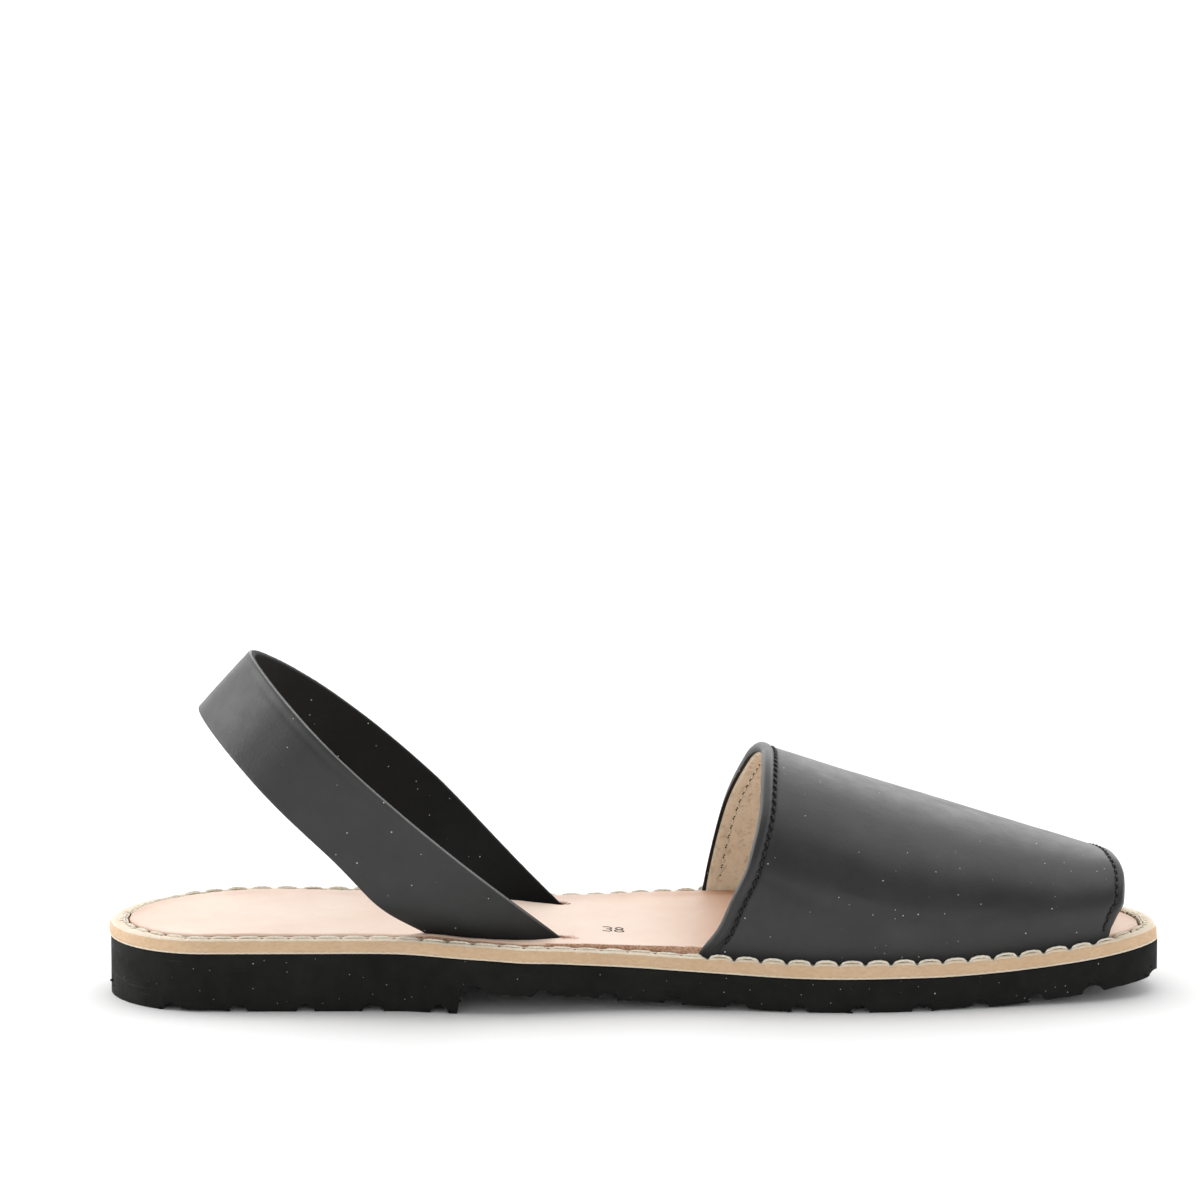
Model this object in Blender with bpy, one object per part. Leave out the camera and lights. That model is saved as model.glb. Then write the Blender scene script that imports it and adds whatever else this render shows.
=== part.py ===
# Left avarca sandal: rubber outsole with a low heel block, tan midsole with a raised ring,
# inlaid leather insole with two slits, one-piece open vamp, and a heel strap.
#
# All lengths are metres. While it is modelled, the shoe lies with its heel back at x = 0 and its
# toe towards +X, the heel's middle line at y = 0, the inner side of the foot at -Y, and the floor
# at z = 0. The finished pieces hang on one empty that puts the origin at the bottom centre.

import math

import bpy
import bmesh
from mathutils import Vector

# Driving dimensions of the sole
SHOE_LENGTH = 0.2600
HEEL_WIDTH = 0.0593
BALL_WIDTH = 0.0860
OUTSOLE_THICKNESS = 0.0083
HEEL_LIFT = 0.0061
HEEL_BLOCK_LENGTH = 0.0872
HEEL_BREAST_SLOPE = 0.0009
TOE_SPRING = 0.0048
MIDSOLE_THICKNESS = 0.0035
MIDSOLE_SETBACK = 0.0002
MIDSOLE_EDGE_ROUND = 0.0007
INSOLE_THICKNESS = 0.0020
INSOLE_PROUD = 0.0004
INSOLE_EDGE_ROUND = 0.0003
RING_WIDTH = 0.0046

# Driving dimensions of the grooves across the tread
GROOVE_PITCH = 0.0165
GROOVE_PITCH_LOSS = 0.00028
GROOVE_WIDTH = 0.0046
GROOVE_DEPTH = 0.0018
HEEL_GROOVE_START = 0.0160
FRONT_GROOVE_START = 0.0908

# Cross-section of a groove. place: from -1 to 1 across it. depth: share of the full depth.
GROOVE_SHAPE = (
    {"place": -1.00, "depth": 0.0},
    {"place": -0.62, "depth": 0.8},
    {"place": 0.00, "depth": 1.0},
    {"place": 0.62, "depth": 0.8},
    {"place": 1.00, "depth": 0.0},
)

# Driving dimensions of the vamp. The wall starts at VAMP_WALL_START flange thicknesses up.
VAMP_WALL = 0.0021
FLANGE_REACH = 0.0013
FLANGE_THICKNESS = 0.0013
INSTEP_HEIGHT = 0.0448
VAMP_BULGE = 0.0018
VAMP_RIM_ROUND = 0.0005
VAMP_RIM_TRIM = 0.00035
VAMP_WALL_START = 1.2

# Driving dimensions of the heel strap
STRAP_WIDTH = 0.0196
STRAP_THICKNESS = 0.0019
STRAP_PITCH = math.radians(41.7)
STRAP_REACH = 0.1029
STRAP_SPREAD = 0.0400
STRAP_ENTRY_LENGTH = 0.0190
STRAP_MIDDLE = 0.0010
STRAP_SLIT_FRONT = 0.1116
STRAP_EDGE_ROUND = 0.0004

# Gap between pieces that touch, and round the strap in its slits
CLEARANCE = 0.0003
SLIT_CLEARANCE = 0.0005

# Sole outline. along: share of the length from the heel. medial and lateral: distance of each
# side from the heel's middle line, as a share of the width there (heel width to ball width).
OUTLINE = (
    {"along": 0.00, "medial": 0.497, "lateral": 0.506},
    {"along": 0.18, "medial": 0.489, "lateral": 0.509},
    {"along": 0.27, "medial": 0.485, "lateral": 0.489},
    {"along": 0.345, "medial": 0.535, "lateral": 0.490},
    {"along": 0.385, "medial": 0.540, "lateral": 0.499},
    {"along": 0.43, "medial": 0.478, "lateral": 0.514},
    {"along": 0.52, "medial": 0.373, "lateral": 0.603},
    {"along": 0.60, "medial": 0.342, "lateral": 0.636},
    {"along": 0.70, "medial": 0.356, "lateral": 0.646},
    {"along": 0.77, "medial": 0.338, "lateral": 0.646},
    {"along": 0.85, "medial": 0.284, "lateral": 0.646},
    {"along": 0.91, "medial": 0.246, "lateral": 0.646},
    {"along": 1.00, "medial": 0.230, "lateral": 0.646},
)
WIDTH_CHANGE_START = 0.36
WIDTH_CHANGE_END = 0.66

# Rounding of both ends: where each side starts to turn in, how full the turn is, and the place of
# the end's tip as a share of the width.
HEEL_TURN = {"medial": 0.092, "lateral": 0.145, "fullness": 1.9, "tip": -0.085}
TOE_TURN = {"medial": 0.880, "lateral": 0.690, "fullness": 2.0, "tip": -0.058}

# Side view of the sole: shares of the length where the arch falls and the toe starts to rise.
ARCH_START = 0.24
ARCH_END = 0.69
SPRING_START = 0.786

# Vamp sections. height: crown above the ring as a share of the instep height. fullness: how
# square the arch is, 2 for an ellipse.
VAMP_SECTIONS = (
    {"along": 0.540, "height": 1.110, "fullness": 2.20},
    {"along": 0.623, "height": 1.000, "fullness": 2.20},
    {"along": 0.740, "height": 0.790, "fullness": 2.20},
    {"along": 0.860, "height": 0.575, "fullness": 2.25},
    {"along": 0.958, "height": 0.382, "fullness": 2.35},
    {"along": 1.000, "height": 0.300, "fullness": 2.40},
)

# Edges of the vamp. arch: share of the way over the foot from the inner side to the outer side.
# throat and toe: place of the two open edges as shares of the length.
VAMP_EDGES = (
    {"arch": 0.00, "throat": 0.561, "toe": 0.9510},
    {"arch": 0.08, "throat": 0.584, "toe": 0.9590},
    {"arch": 0.16, "throat": 0.604, "toe": 0.9665},
    {"arch": 0.30, "throat": 0.620, "toe": 0.9680},
    {"arch": 0.50, "throat": 0.623, "toe": 0.9610},
    {"arch": 0.70, "throat": 0.607, "toe": 0.9430},
    {"arch": 0.85, "throat": 0.586, "toe": 0.9220},
    {"arch": 1.00, "throat": 0.567, "toe": 0.9040},
)

# Heel strap loop, seen square to its tilted plane. along: share of the reach from the loop's back
# to where it enters the insole. medial and lateral: distance of each side from the loop's middle
# as a share of the spread.
STRAP_LOOP = (
    {"along": 0.000, "medial": 0.000, "lateral": 0.000},
    {"along": 0.015, "medial": 0.165, "lateral": 0.170},
    {"along": 0.050, "medial": 0.320, "lateral": 0.335},
    {"along": 0.140, "medial": 0.590, "lateral": 0.625},
    {"along": 0.230, "medial": 0.770, "lateral": 0.825},
    {"along": 0.320, "medial": 0.860, "lateral": 0.950},
    {"along": 0.410, "medial": 0.888, "lateral": 1.025},
    {"along": 0.500, "medial": 0.885, "lateral": 1.050},
    {"along": 0.580, "medial": 0.862, "lateral": 1.035},
    {"along": 0.665, "medial": 0.815, "lateral": 0.950},
    {"along": 0.745, "medial": 0.755, "lateral": 0.825},
    {"along": 0.830, "medial": 0.670, "lateral": 0.690},
    {"along": 0.910, "medial": 0.580, "lateral": 0.580},
    {"along": 1.000, "medial": 0.490, "lateral": 0.490},
    {"along": 1.150, "medial": 0.400, "lateral": 0.400},
)

# Shape of the slits that the ends go into. down: share of the strap's width below its top edge.
# medial and lateral: how far the strap stands out from the loop there, as a share of the spread.
STRAP_ENTRY = (
    {"down": 0.00, "medial": 0.000, "lateral": 0.000},
    {"down": 0.25, "medial": 0.045, "lateral": -0.030},
    {"down": 0.50, "medial": 0.032, "lateral": -0.095},
    {"down": 0.75, "medial": -0.035, "lateral": -0.170},
    {"down": 1.00, "medial": -0.150, "lateral": -0.255},
)

# Steps of the meshes. The values from END_ZONE to SLOPE_STEP are shares of the length.
END_STEPS = 11
MIDDLE_STEP = 0.022
END_ZONE = 0.03
CORNER_SPACING = 0.0026
SAME_STATION = 0.00004
SLOPE_STEP = 0.004
VAMP_ARCH_STEPS = 30
VAMP_LENGTH_STEPS = 22
STRAP_STEPS = 72
STRAP_ROWS = 4
STRAP_CROWDING = 0.3
STRAP_TURN_STEP = 0.004
SLIT_CUT_START = 0.85
SETTLING_ROUNDS = 6

# Share of a rounded edge that is cut away at the middle of its curve.
ROUND_MIDDLE = 1.0 - math.sqrt(0.5)


def clear_scene():
    for old in list(bpy.data.objects):
        bpy.data.objects.remove(old, do_unlink=True)


def clamp_share(value):
    return max(0.0, min(1.0, value))


def smooth_step(start, end, value):
    share = clamp_share((value - start) / (end - start))
    return share * share * (3.0 - 2.0 * share)


def mix(first, second, share):
    return first + (second - first) * share


def read_curve(rows, key, column, value, warp=lambda number: number):
    # Smooth curve through one column of a table, by cubic pieces that don't overshoot.
    knots = [warp(row[key]) for row in rows]
    heights = [row[column] for row in rows]
    place = max(knots[0], min(knots[-1], warp(value)))
    slopes = [
        (heights[i + 1] - heights[i]) / (knots[i + 1] - knots[i])
        for i in range(len(knots) - 1)
    ]
    tangents = [slopes[0]]
    for before, after in zip(slopes, slopes[1:]):
        tangents.append(0.0 if before * after <= 0.0 else 2.0 * before * after / (before + after))
    tangents.append(slopes[-1])
    index = 0
    while index < len(knots) - 2 and place > knots[index + 1]:
        index += 1
    span = knots[index + 1] - knots[index]
    t = (place - knots[index]) / span
    return (
        (1.0 + 2.0 * t) * (1.0 - t) ** 2 * heights[index]
        + t * (1.0 - t) ** 2 * span * tangents[index]
        + t * t * (3.0 - 2.0 * t) * heights[index + 1]
        + t * t * (t - 1.0) * span * tangents[index + 1]
    )


# Sole outline and side view


def local_width(along):
    return mix(HEEL_WIDTH, BALL_WIDTH, smooth_step(WIDTH_CHANGE_START, WIDTH_CHANGE_END, along))


def turn_share(depth, fullness):
    # Share of the full width left at a depth of 0 to 1 into a rounded end.
    return (1.0 - clamp_share(depth) ** fullness) ** (1.0 / fullness)


def edge_y(side, along):
    # Place of one side of the outsole, with both ends rounded towards their tips.
    sign = -1.0 if side == "medial" else 1.0
    full = sign * local_width(along) * read_curve(OUTLINE, "along", side, along)
    if along < HEEL_TURN[side]:
        depth = 1.0 - along / HEEL_TURN[side]
        tip = HEEL_TURN["tip"] * HEEL_WIDTH
        return mix(tip, full, turn_share(depth, HEEL_TURN["fullness"]))
    if along > TOE_TURN[side]:
        depth = (along - TOE_TURN[side]) / (1.0 - TOE_TURN[side])
        tip = TOE_TURN["tip"] * BALL_WIDTH
        return mix(tip, full, turn_share(depth, TOE_TURN["fullness"]))
    return full


def lift(x):
    # Height of the underside above the floor, but for the heel block.
    along = x / SHOE_LENGTH
    arch = HEEL_LIFT * (1.0 - smooth_step(ARCH_START, ARCH_END, along))
    rise = clamp_share((along - SPRING_START) / (1.0 - SPRING_START))
    return arch + TOE_SPRING * rise ** 2


def outsole_top(x):
    return lift(x) + OUTSOLE_THICKNESS


def midsole_bottom(x):
    return outsole_top(x) + CLEARANCE


def ring_top(x):
    return midsole_bottom(x) + MIDSOLE_THICKNESS


def insole_top(x):
    return ring_top(x) + INSOLE_PROUD


def insole_bottom(x):
    return insole_top(x) - INSOLE_THICKNESS


def recess_floor(x):
    return insole_bottom(x) - CLEARANCE


def groove_centres():
    centres = []
    x = HEEL_GROOVE_START
    while x < HEEL_BLOCK_LENGTH - GROOVE_WIDTH:
        centres.append(x)
        x += GROOVE_PITCH
    x = FRONT_GROOVE_START
    pitch = GROOVE_PITCH
    while x < SHOE_LENGTH - GROOVE_WIDTH / 2.0 and pitch > GROOVE_WIDTH:
        centres.append(x)
        x += pitch
        pitch -= GROOVE_PITCH_LOSS
    return centres


def groove_depth(x):
    for centre in groove_centres():
        place = (x - centre) / (GROOVE_WIDTH / 2.0)
        for left, right in zip(GROOVE_SHAPE, GROOVE_SHAPE[1:]):
            if left["place"] <= place <= right["place"]:
                share = (place - left["place"]) / (right["place"] - left["place"])
                return GROOVE_DEPTH * mix(left["depth"], right["depth"], share)
    return 0.0


def underside(x):
    breast = smooth_step(HEEL_BLOCK_LENGTH - HEEL_BREAST_SLOPE, HEEL_BLOCK_LENGTH, x)
    return lift(x) * breast + groove_depth(x)


def plain_stations():
    # Shares of the length, close together at both rounded ends.
    heel_turn = HEEL_TURN["lateral"]
    toe_turn = 1.0 - TOE_TURN["medial"]
    stations = [heel_turn * (step / END_STEPS) ** 2 for step in range(END_STEPS + 1)]
    middle = 1.0 - toe_turn - heel_turn
    count = math.ceil(middle / MIDDLE_STEP)
    stations += [heel_turn + middle * step / count for step in range(1, count)]
    stations += [1.0 - toe_turn * (step / END_STEPS) ** 2 for step in range(END_STEPS, -1, -1)]
    return stations


def tread_stations():
    # The plain stations with the corners of the grooves and of the heel breast added.
    corners = [HEEL_BLOCK_LENGTH - HEEL_BREAST_SLOPE, HEEL_BLOCK_LENGTH]
    for centre in groove_centres():
        corners += [centre + row["place"] * GROOVE_WIDTH / 2.0 for row in GROOVE_SHAPE]
    corners = sorted(corner / SHOE_LENGTH for corner in corners if corner < SHOE_LENGTH)
    stations = list(corners)
    for station in plain_stations():
        at_an_end = station < END_ZONE or station > 1.0 - END_ZONE
        if at_an_end or all(abs(station - corner) > CORNER_SPACING for corner in corners):
            stations.append(station)
    stations = sorted(stations)
    kept = [stations[0]]
    for station in stations[1:]:
        if station - kept[-1] > SAME_STATION:
            kept.append(station)
    return kept


# Meshes


def outline_points(stations):
    # Closed outline of the outsole: along the inner side to the toe, and back along the outer side.
    medial = [Vector((SHOE_LENGTH * s, edge_y("medial", s))) for s in stations]
    lateral = [Vector((SHOE_LENGTH * s, edge_y("lateral", s))) for s in stations[1:-1]]
    return medial + lateral[::-1]


def inset_outline(points, inset):
    # The outline moved inwards, square to itself.
    moved = []
    count = len(points)
    for index, point in enumerate(points):
        along = points[(index + 1) % count] - points[index - 1]
        inward = Vector((-along.y, along.x)).normalized()
        moved.append(point + inward * inset)
    return moved


def make_object(name, mesh_builder, material, parent):
    mesh = bpy.data.meshes.new(name)
    builder = bmesh.new()
    mesh_builder(builder)
    bmesh.ops.recalc_face_normals(builder, faces=builder.faces)
    bmesh.ops.triangulate(builder, faces=[face for face in builder.faces if len(face.verts) > 4])
    builder.to_mesh(mesh)
    builder.free()
    made = bpy.data.objects.new(name, mesh)
    bpy.context.scene.collection.objects.link(made)
    mesh.materials.append(material)
    mesh.shade_smooth()
    mesh.set_sharp_from_angle(angle=math.radians(35.0))
    made.parent = parent
    return made


def make_material(name, colour, roughness):
    material = bpy.data.materials.new(name)
    material.use_nodes = True
    shader = material.node_tree.nodes["Principled BSDF"]
    shader.inputs["Base Color"].default_value = (*colour, 1.0)
    shader.inputs["Roughness"].default_value = roughness
    shader.inputs["Metallic"].default_value = 0.0
    return material


def build_plate(builder, stations, rings):
    # A plate of the sole. Each ring is an inset from the outline and a height for each x; the
    # first ring closes the plate from below and the last one from above.
    outline = outline_points(stations)
    loops = []
    for inset, height in rings:
        points = inset_outline(outline, inset)
        loops.append([builder.verts.new((p.x, p.y, height(p.x))) for p in points])
    for lower, upper in zip(loops, loops[1:]):
        for index in range(len(lower)):
            after = (index + 1) % len(lower)
            builder.faces.new((lower[index], lower[after], upper[after], upper[index]))
    for loop in (loops[0], loops[-1]):
        fill_across(builder, loop, len(stations))


def fill_across(builder, loop, count):
    # Strips from the inner side to the outer side between the heel and toe tips.
    last = len(loop)
    for index in range(count - 1):
        across = [loop[(last - index - 1) % last], loop[(last - index) % last]]
        ring = [loop[index], loop[index + 1]] + across
        corners = []
        for vertex in ring:
            if vertex not in corners:
                corners.append(vertex)
        builder.faces.new(corners)


def build_outsole(builder):
    rings = [(0.0, underside), (0.0, outsole_top)]
    build_plate(builder, tread_stations(), rings)


def build_midsole(builder):
    edge = MIDSOLE_EDGE_ROUND
    recess = RING_WIDTH - CLEARANCE
    rings = [
        (MIDSOLE_SETBACK, midsole_bottom),
        (MIDSOLE_SETBACK, lambda x: ring_top(x) - edge),
        (MIDSOLE_SETBACK + edge * ROUND_MIDDLE, lambda x: ring_top(x) - edge * ROUND_MIDDLE),
        (MIDSOLE_SETBACK + edge, ring_top),
        (recess, ring_top),
        (recess, recess_floor),
    ]
    build_plate(builder, plain_stations(), rings)


def build_insole(builder):
    rings = [
        (RING_WIDTH, insole_bottom),
        (RING_WIDTH, lambda x: insole_top(x) - INSOLE_EDGE_ROUND),
        (RING_WIDTH + INSOLE_EDGE_ROUND, insole_top),
    ]
    build_plate(builder, plain_stations(), rings)


# Vamp


def foot_y(side, x, inset):
    # Place at x of a line that runs at a fixed inset inside one side of the sole.
    along = x / SHOE_LENGTH
    run = 2.0 * SLOPE_STEP * SHOE_LENGTH
    rise = (edge_y(side, along + SLOPE_STEP) - edge_y(side, along - SLOPE_STEP)) / run
    inward = 1.0 if side == "medial" else -1.0
    return edge_y(side, along) + inward * inset * math.hypot(1.0, rise)


def arch_point(x, arch, depth):
    # Point of the vamp over the foot, at a depth inside its outer face.
    along = x / SHOE_LENGTH
    wall_foot = RING_WIDTH - CLEARANCE - VAMP_WALL
    medial = foot_y("medial", x, wall_foot + depth)
    lateral = foot_y("lateral", x, wall_foot + depth)
    fullness = read_curve(VAMP_SECTIONS, "along", "fullness", along)
    crown = INSTEP_HEIGHT * read_curve(VAMP_SECTIONS, "along", "height", along) - depth
    angle = math.pi * arch
    across = abs(math.cos(angle)) ** (2.0 / fullness)
    up = math.sin(angle) ** (2.0 / fullness) if 0.0 < arch < 1.0 else 0.0
    bulge = VAMP_BULGE * 4.0 * up * (1.0 - up)
    side = -1.0 if arch < 0.5 else 1.0
    middle = (medial + lateral) / 2.0
    half = (lateral - medial) / 2.0
    y = middle + side * across * (half + bulge)
    z = ring_top(x) + CLEARANCE + crown * up
    return Vector((x, y, z))


def vamp_x(arch, share):
    throat = read_curve(VAMP_EDGES, "arch", "throat", arch)
    toe = read_curve(VAMP_EDGES, "arch", "toe", arch)
    return SHOE_LENGTH * mix(throat, toe, share)


def flange_points(side, share):
    # Outer edge of the turned-out foot of the vamp, below and above, and its fold to the wall.
    arch = 0.0 if side == "medial" else 1.0
    x = vamp_x(arch, share)
    wall_foot = RING_WIDTH - CLEARANCE - VAMP_WALL
    base = ring_top(x) + CLEARANCE
    edge = foot_y(side, x, wall_foot - FLANGE_REACH)
    fold = foot_y(side, x, wall_foot - FLANGE_REACH * ROUND_MIDDLE)
    low = Vector((x, edge, base))
    high = Vector((x, edge, base + FLANGE_THICKNESS))
    crease = Vector((x, fold, base + FLANGE_THICKNESS))
    return low, high, crease


def vamp_loop(share, depth_out, depth_in):
    # One section of the vamp: over the outer face from the inner side, and back along the lining.
    first = FLANGE_THICKNESS / INSTEP_HEIGHT * VAMP_WALL_START
    arches = [
        mix(first, 1.0 - first, step / VAMP_ARCH_STEPS) for step in range(VAMP_ARCH_STEPS + 1)
    ]
    low_m, high_m, crease_m = flange_points("medial", share)
    low_l, high_l, crease_l = flange_points("lateral", share)
    outer = [arch_point(vamp_x(a, share), a, depth_out) for a in arches]
    inner = [arch_point(vamp_x(a, share), a, VAMP_WALL - depth_in) for a in arches]
    foot_m = arch_point(vamp_x(0.0, share), 0.0, VAMP_WALL - depth_in)
    foot_l = arch_point(vamp_x(1.0, share), 1.0, VAMP_WALL - depth_in)
    left = [low_m, high_m, crease_m]
    right = [crease_l, high_l, low_l]
    return left + outer + right, [foot_m] + inner + [foot_l]


def build_vamp(builder):
    # Sections from the throat to the toe, the first and last drawn in to round the cut edges.
    crown_length = vamp_x(0.5, 1.0) - vamp_x(0.5, 0.0)
    round_share = VAMP_RIM_ROUND / crown_length
    shares = [0.0, round_share]
    shares += [step / VAMP_LENGTH_STEPS for step in range(1, VAMP_LENGTH_STEPS)]
    shares += [1.0 - round_share, 1.0]
    sections = []
    for index, share in enumerate(shares):
        at_rim = index in (0, len(shares) - 1)
        trim = VAMP_RIM_TRIM if at_rim else 0.0
        outer, inner = vamp_loop(share, trim, trim)
        outer = [builder.verts.new(point) for point in outer]
        inner = [builder.verts.new(point) for point in inner]
        sections.append((outer, inner))
    for (outer_a, inner_a), (outer_b, inner_b) in zip(sections, sections[1:]):
        loop_a = outer_a + inner_a[::-1]
        loop_b = outer_b + inner_b[::-1]
        for index in range(len(loop_a)):
            after = (index + 1) % len(loop_a)
            builder.faces.new((loop_a[index], loop_a[after], loop_b[after], loop_b[index]))
    for outer, inner in (sections[0], sections[-1]):
        builder.faces.new((outer[0], outer[1], outer[2], outer[3], inner[1], inner[0]))
        builder.faces.new((outer[-1], outer[-2], outer[-3], outer[-4], inner[-2], inner[-1]))
        for index in range(1, len(inner) - 2):
            builder.faces.new((outer[index + 2], outer[index + 3], inner[index + 1], inner[index]))


# Heel strap


def strap_axes():
    forward = Vector((math.cos(STRAP_PITCH), 0.0, -math.sin(STRAP_PITCH)))
    up = Vector((math.sin(STRAP_PITCH), 0.0, math.cos(STRAP_PITCH)))
    return forward, up


def strap_back():
    # Top of the loop's back, found from where the top edge enters the insole.
    forward, _ = strap_axes()
    entry = Vector((STRAP_SLIT_FRONT, STRAP_MIDDLE, insole_top(STRAP_SLIT_FRONT)))
    return entry - forward * STRAP_REACH


def strap_end(down):
    # Length along the loop at which a line `down` below the top edge meets the recess floor.
    forward, up = strap_axes()
    back = strap_back()
    x = STRAP_SLIT_FRONT
    for _ in range(SETTLING_ROUNDS):
        floor = recess_floor(x) + CLEARANCE
        length = (back.z - down * up.z - floor) / -forward.z
        x = back.x + forward.x * length - up.x * down
    return length


def strap_half(side, length, down, end):
    # Distance of one side of the loop from its middle, bent to the slit where it goes in.
    share = min(STRAP_LOOP[-1]["along"], length / STRAP_REACH)
    loop = read_curve(STRAP_LOOP, "along", side, share, math.sqrt)
    entry = read_curve(STRAP_ENTRY, "down", side, down / STRAP_WIDTH)
    in_slit = INSOLE_THICKNESS / math.sin(STRAP_PITCH)
    near = smooth_step(0.0, 1.0, 1.0 - (end - in_slit - length) / STRAP_ENTRY_LENGTH)
    return STRAP_SPREAD * (loop + entry * near)


def strap_path(turn, down, end):
    # Length and sideways place of the outer face, with turn from -1 to 1 round the loop.
    length = end * turn * turn
    if turn < 0.0:
        return Vector((length, -strap_half("medial", length, down, end)))
    return Vector((length, strap_half("lateral", length, down, end)))


def strap_point(turn, down, inside):
    # turn runs from -1 at the inner slit over 0 at the back to 1 at the outer slit.
    forward, up = strap_axes()
    end = strap_end(down)
    ahead = strap_path(turn + STRAP_TURN_STEP, down, end)
    behind = strap_path(turn - STRAP_TURN_STEP, down, end)
    tangent = (ahead - behind).normalized()
    place = strap_path(turn, down, end)
    length = place.x + tangent.y * inside
    across = place.y - tangent.x * inside
    point = strap_back() + forward * length + Vector((0.0, across, 0.0)) - up * down
    below = recess_floor(point.x) + CLEARANCE - point.z
    return point - forward * max(0.0, below) / -forward.z


def strap_rim(margin):
    # Corners of the band's cross-section, as depth inside the outer face and distance down.
    edge = STRAP_EDGE_ROUND
    outer = -margin
    inner = STRAP_THICKNESS + margin
    top = -margin
    bottom = STRAP_WIDTH + margin
    downs = [top + edge]
    downs += [STRAP_WIDTH * row / STRAP_ROWS for row in range(1, STRAP_ROWS)]
    downs.append(bottom - edge)
    corners = [(outer + edge, top)]
    corners += [(outer, down) for down in downs]
    corners += [(outer + edge, bottom), (inner - edge, bottom)]
    corners += [(inner, down) for down in reversed(downs)]
    corners.append((inner - edge, top))
    return corners


def build_band(builder, margin, turns, runs_on):
    # A stretch of the strap. One that runs on goes straight ahead past its last turn.
    corners = strap_rim(margin)
    rows = [[strap_point(turn, down, inside) for inside, down in corners] for turn in turns]
    if runs_on:
        rows.append([last + (last - before) for before, last in zip(rows[-2], rows[-1])])
    loops = [[builder.verts.new(point) for point in row] for row in rows]
    for first, second in zip(loops, loops[1:]):
        for index in range(len(first)):
            after = (index + 1) % len(first)
            builder.faces.new((first[index], first[after], second[after], second[index]))
    count = len(corners)
    for loop in (loops[0], loops[-1]):
        for index in range(count // 2 - 1):
            builder.faces.new(
                (loop[index], loop[index + 1], loop[count - index - 2], loop[count - index - 1])
            )


def strap_turns():
    # Closer together towards the slits, where the strap bends most.
    shares = [2.0 * step / STRAP_STEPS - 1.0 for step in range(STRAP_STEPS + 1)]
    return [share * (1.0 + STRAP_CROWDING * (1.0 - share * share)) for share in shares]


def build_strap(builder):
    build_band(builder, 0.0, strap_turns(), False)


def build_slit_cutter(builder, side):
    # The strap's own end, larger all round by the clearance, and run on through the insole.
    turns = [side * turn for turn in strap_turns() if turn > SLIT_CUT_START]
    build_band(builder, SLIT_CLEARANCE, turns, True)


def cut_slits(insole, material, parent):
    for side, name in ((-1.0, "inner_slit_cutter"), (1.0, "outer_slit_cutter")):
        cutter = make_object(name, lambda builder: build_slit_cutter(builder, side), material, parent)
        cutter.hide_render = True
        cutter.display_type = "WIRE"
        cut = insole.modifiers.new(name, "BOOLEAN")
        cut.operation = "DIFFERENCE"
        cut.solver = "EXACT"
        cut.object = cutter


def centre_on_floor(parent, pieces):
    # The parent empty is moved so that the whole shoe stands over the origin.
    corners = [vertex.co for piece in pieces for vertex in piece.data.vertices]
    middle_x = (min(p.x for p in corners) + max(p.x for p in corners)) / 2.0
    middle_y = (min(p.y for p in corners) + max(p.y for p in corners)) / 2.0
    low = min(p.z for p in corners)
    parent.location = (-middle_x, -middle_y, -low)


def main():
    clear_scene()
    rubber = make_material("black_rubber", (0.016, 0.016, 0.015), 0.75)
    tan = make_material("tan_leather_edge", (0.56, 0.38, 0.22), 0.60)
    natural = make_material("natural_leather", (0.78, 0.56, 0.44), 0.55)
    black = make_material("black_leather", (0.040, 0.041, 0.041), 0.45)
    shoe = bpy.data.objects.new("shoe", None)
    bpy.context.scene.collection.objects.link(shoe)
    outsole = make_object("outsole", build_outsole, rubber, shoe)
    midsole = make_object("midsole", build_midsole, tan, shoe)
    insole = make_object("insole", build_insole, natural, shoe)
    vamp = make_object("vamp", build_vamp, black, shoe)
    strap = make_object("heel_strap", build_strap, black, shoe)
    cut_slits(insole, natural, shoe)
    centre_on_floor(shoe, (outsole, midsole, insole, vamp, strap))


main()
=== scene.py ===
import math

import bmesh
import bpy
import numpy as np
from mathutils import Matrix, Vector


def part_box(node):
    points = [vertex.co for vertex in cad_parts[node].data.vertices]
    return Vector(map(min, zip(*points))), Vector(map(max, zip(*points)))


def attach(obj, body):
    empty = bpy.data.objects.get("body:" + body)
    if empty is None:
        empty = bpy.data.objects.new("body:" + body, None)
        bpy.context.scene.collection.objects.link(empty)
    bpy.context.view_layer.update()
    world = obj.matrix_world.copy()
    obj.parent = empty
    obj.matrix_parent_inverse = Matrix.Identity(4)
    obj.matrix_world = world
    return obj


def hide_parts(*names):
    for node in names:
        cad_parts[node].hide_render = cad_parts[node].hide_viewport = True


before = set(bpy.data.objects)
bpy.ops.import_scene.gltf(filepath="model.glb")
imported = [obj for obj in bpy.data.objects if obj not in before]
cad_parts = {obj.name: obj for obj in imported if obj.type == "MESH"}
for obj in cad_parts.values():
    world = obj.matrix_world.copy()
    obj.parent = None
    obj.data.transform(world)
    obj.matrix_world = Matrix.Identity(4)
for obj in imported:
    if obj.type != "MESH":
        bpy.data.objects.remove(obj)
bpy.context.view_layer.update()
print("frame loaded:", sorted(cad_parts))

# everything below is in metres, heel back at x = 0, heel's middle line at y = 0

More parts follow.
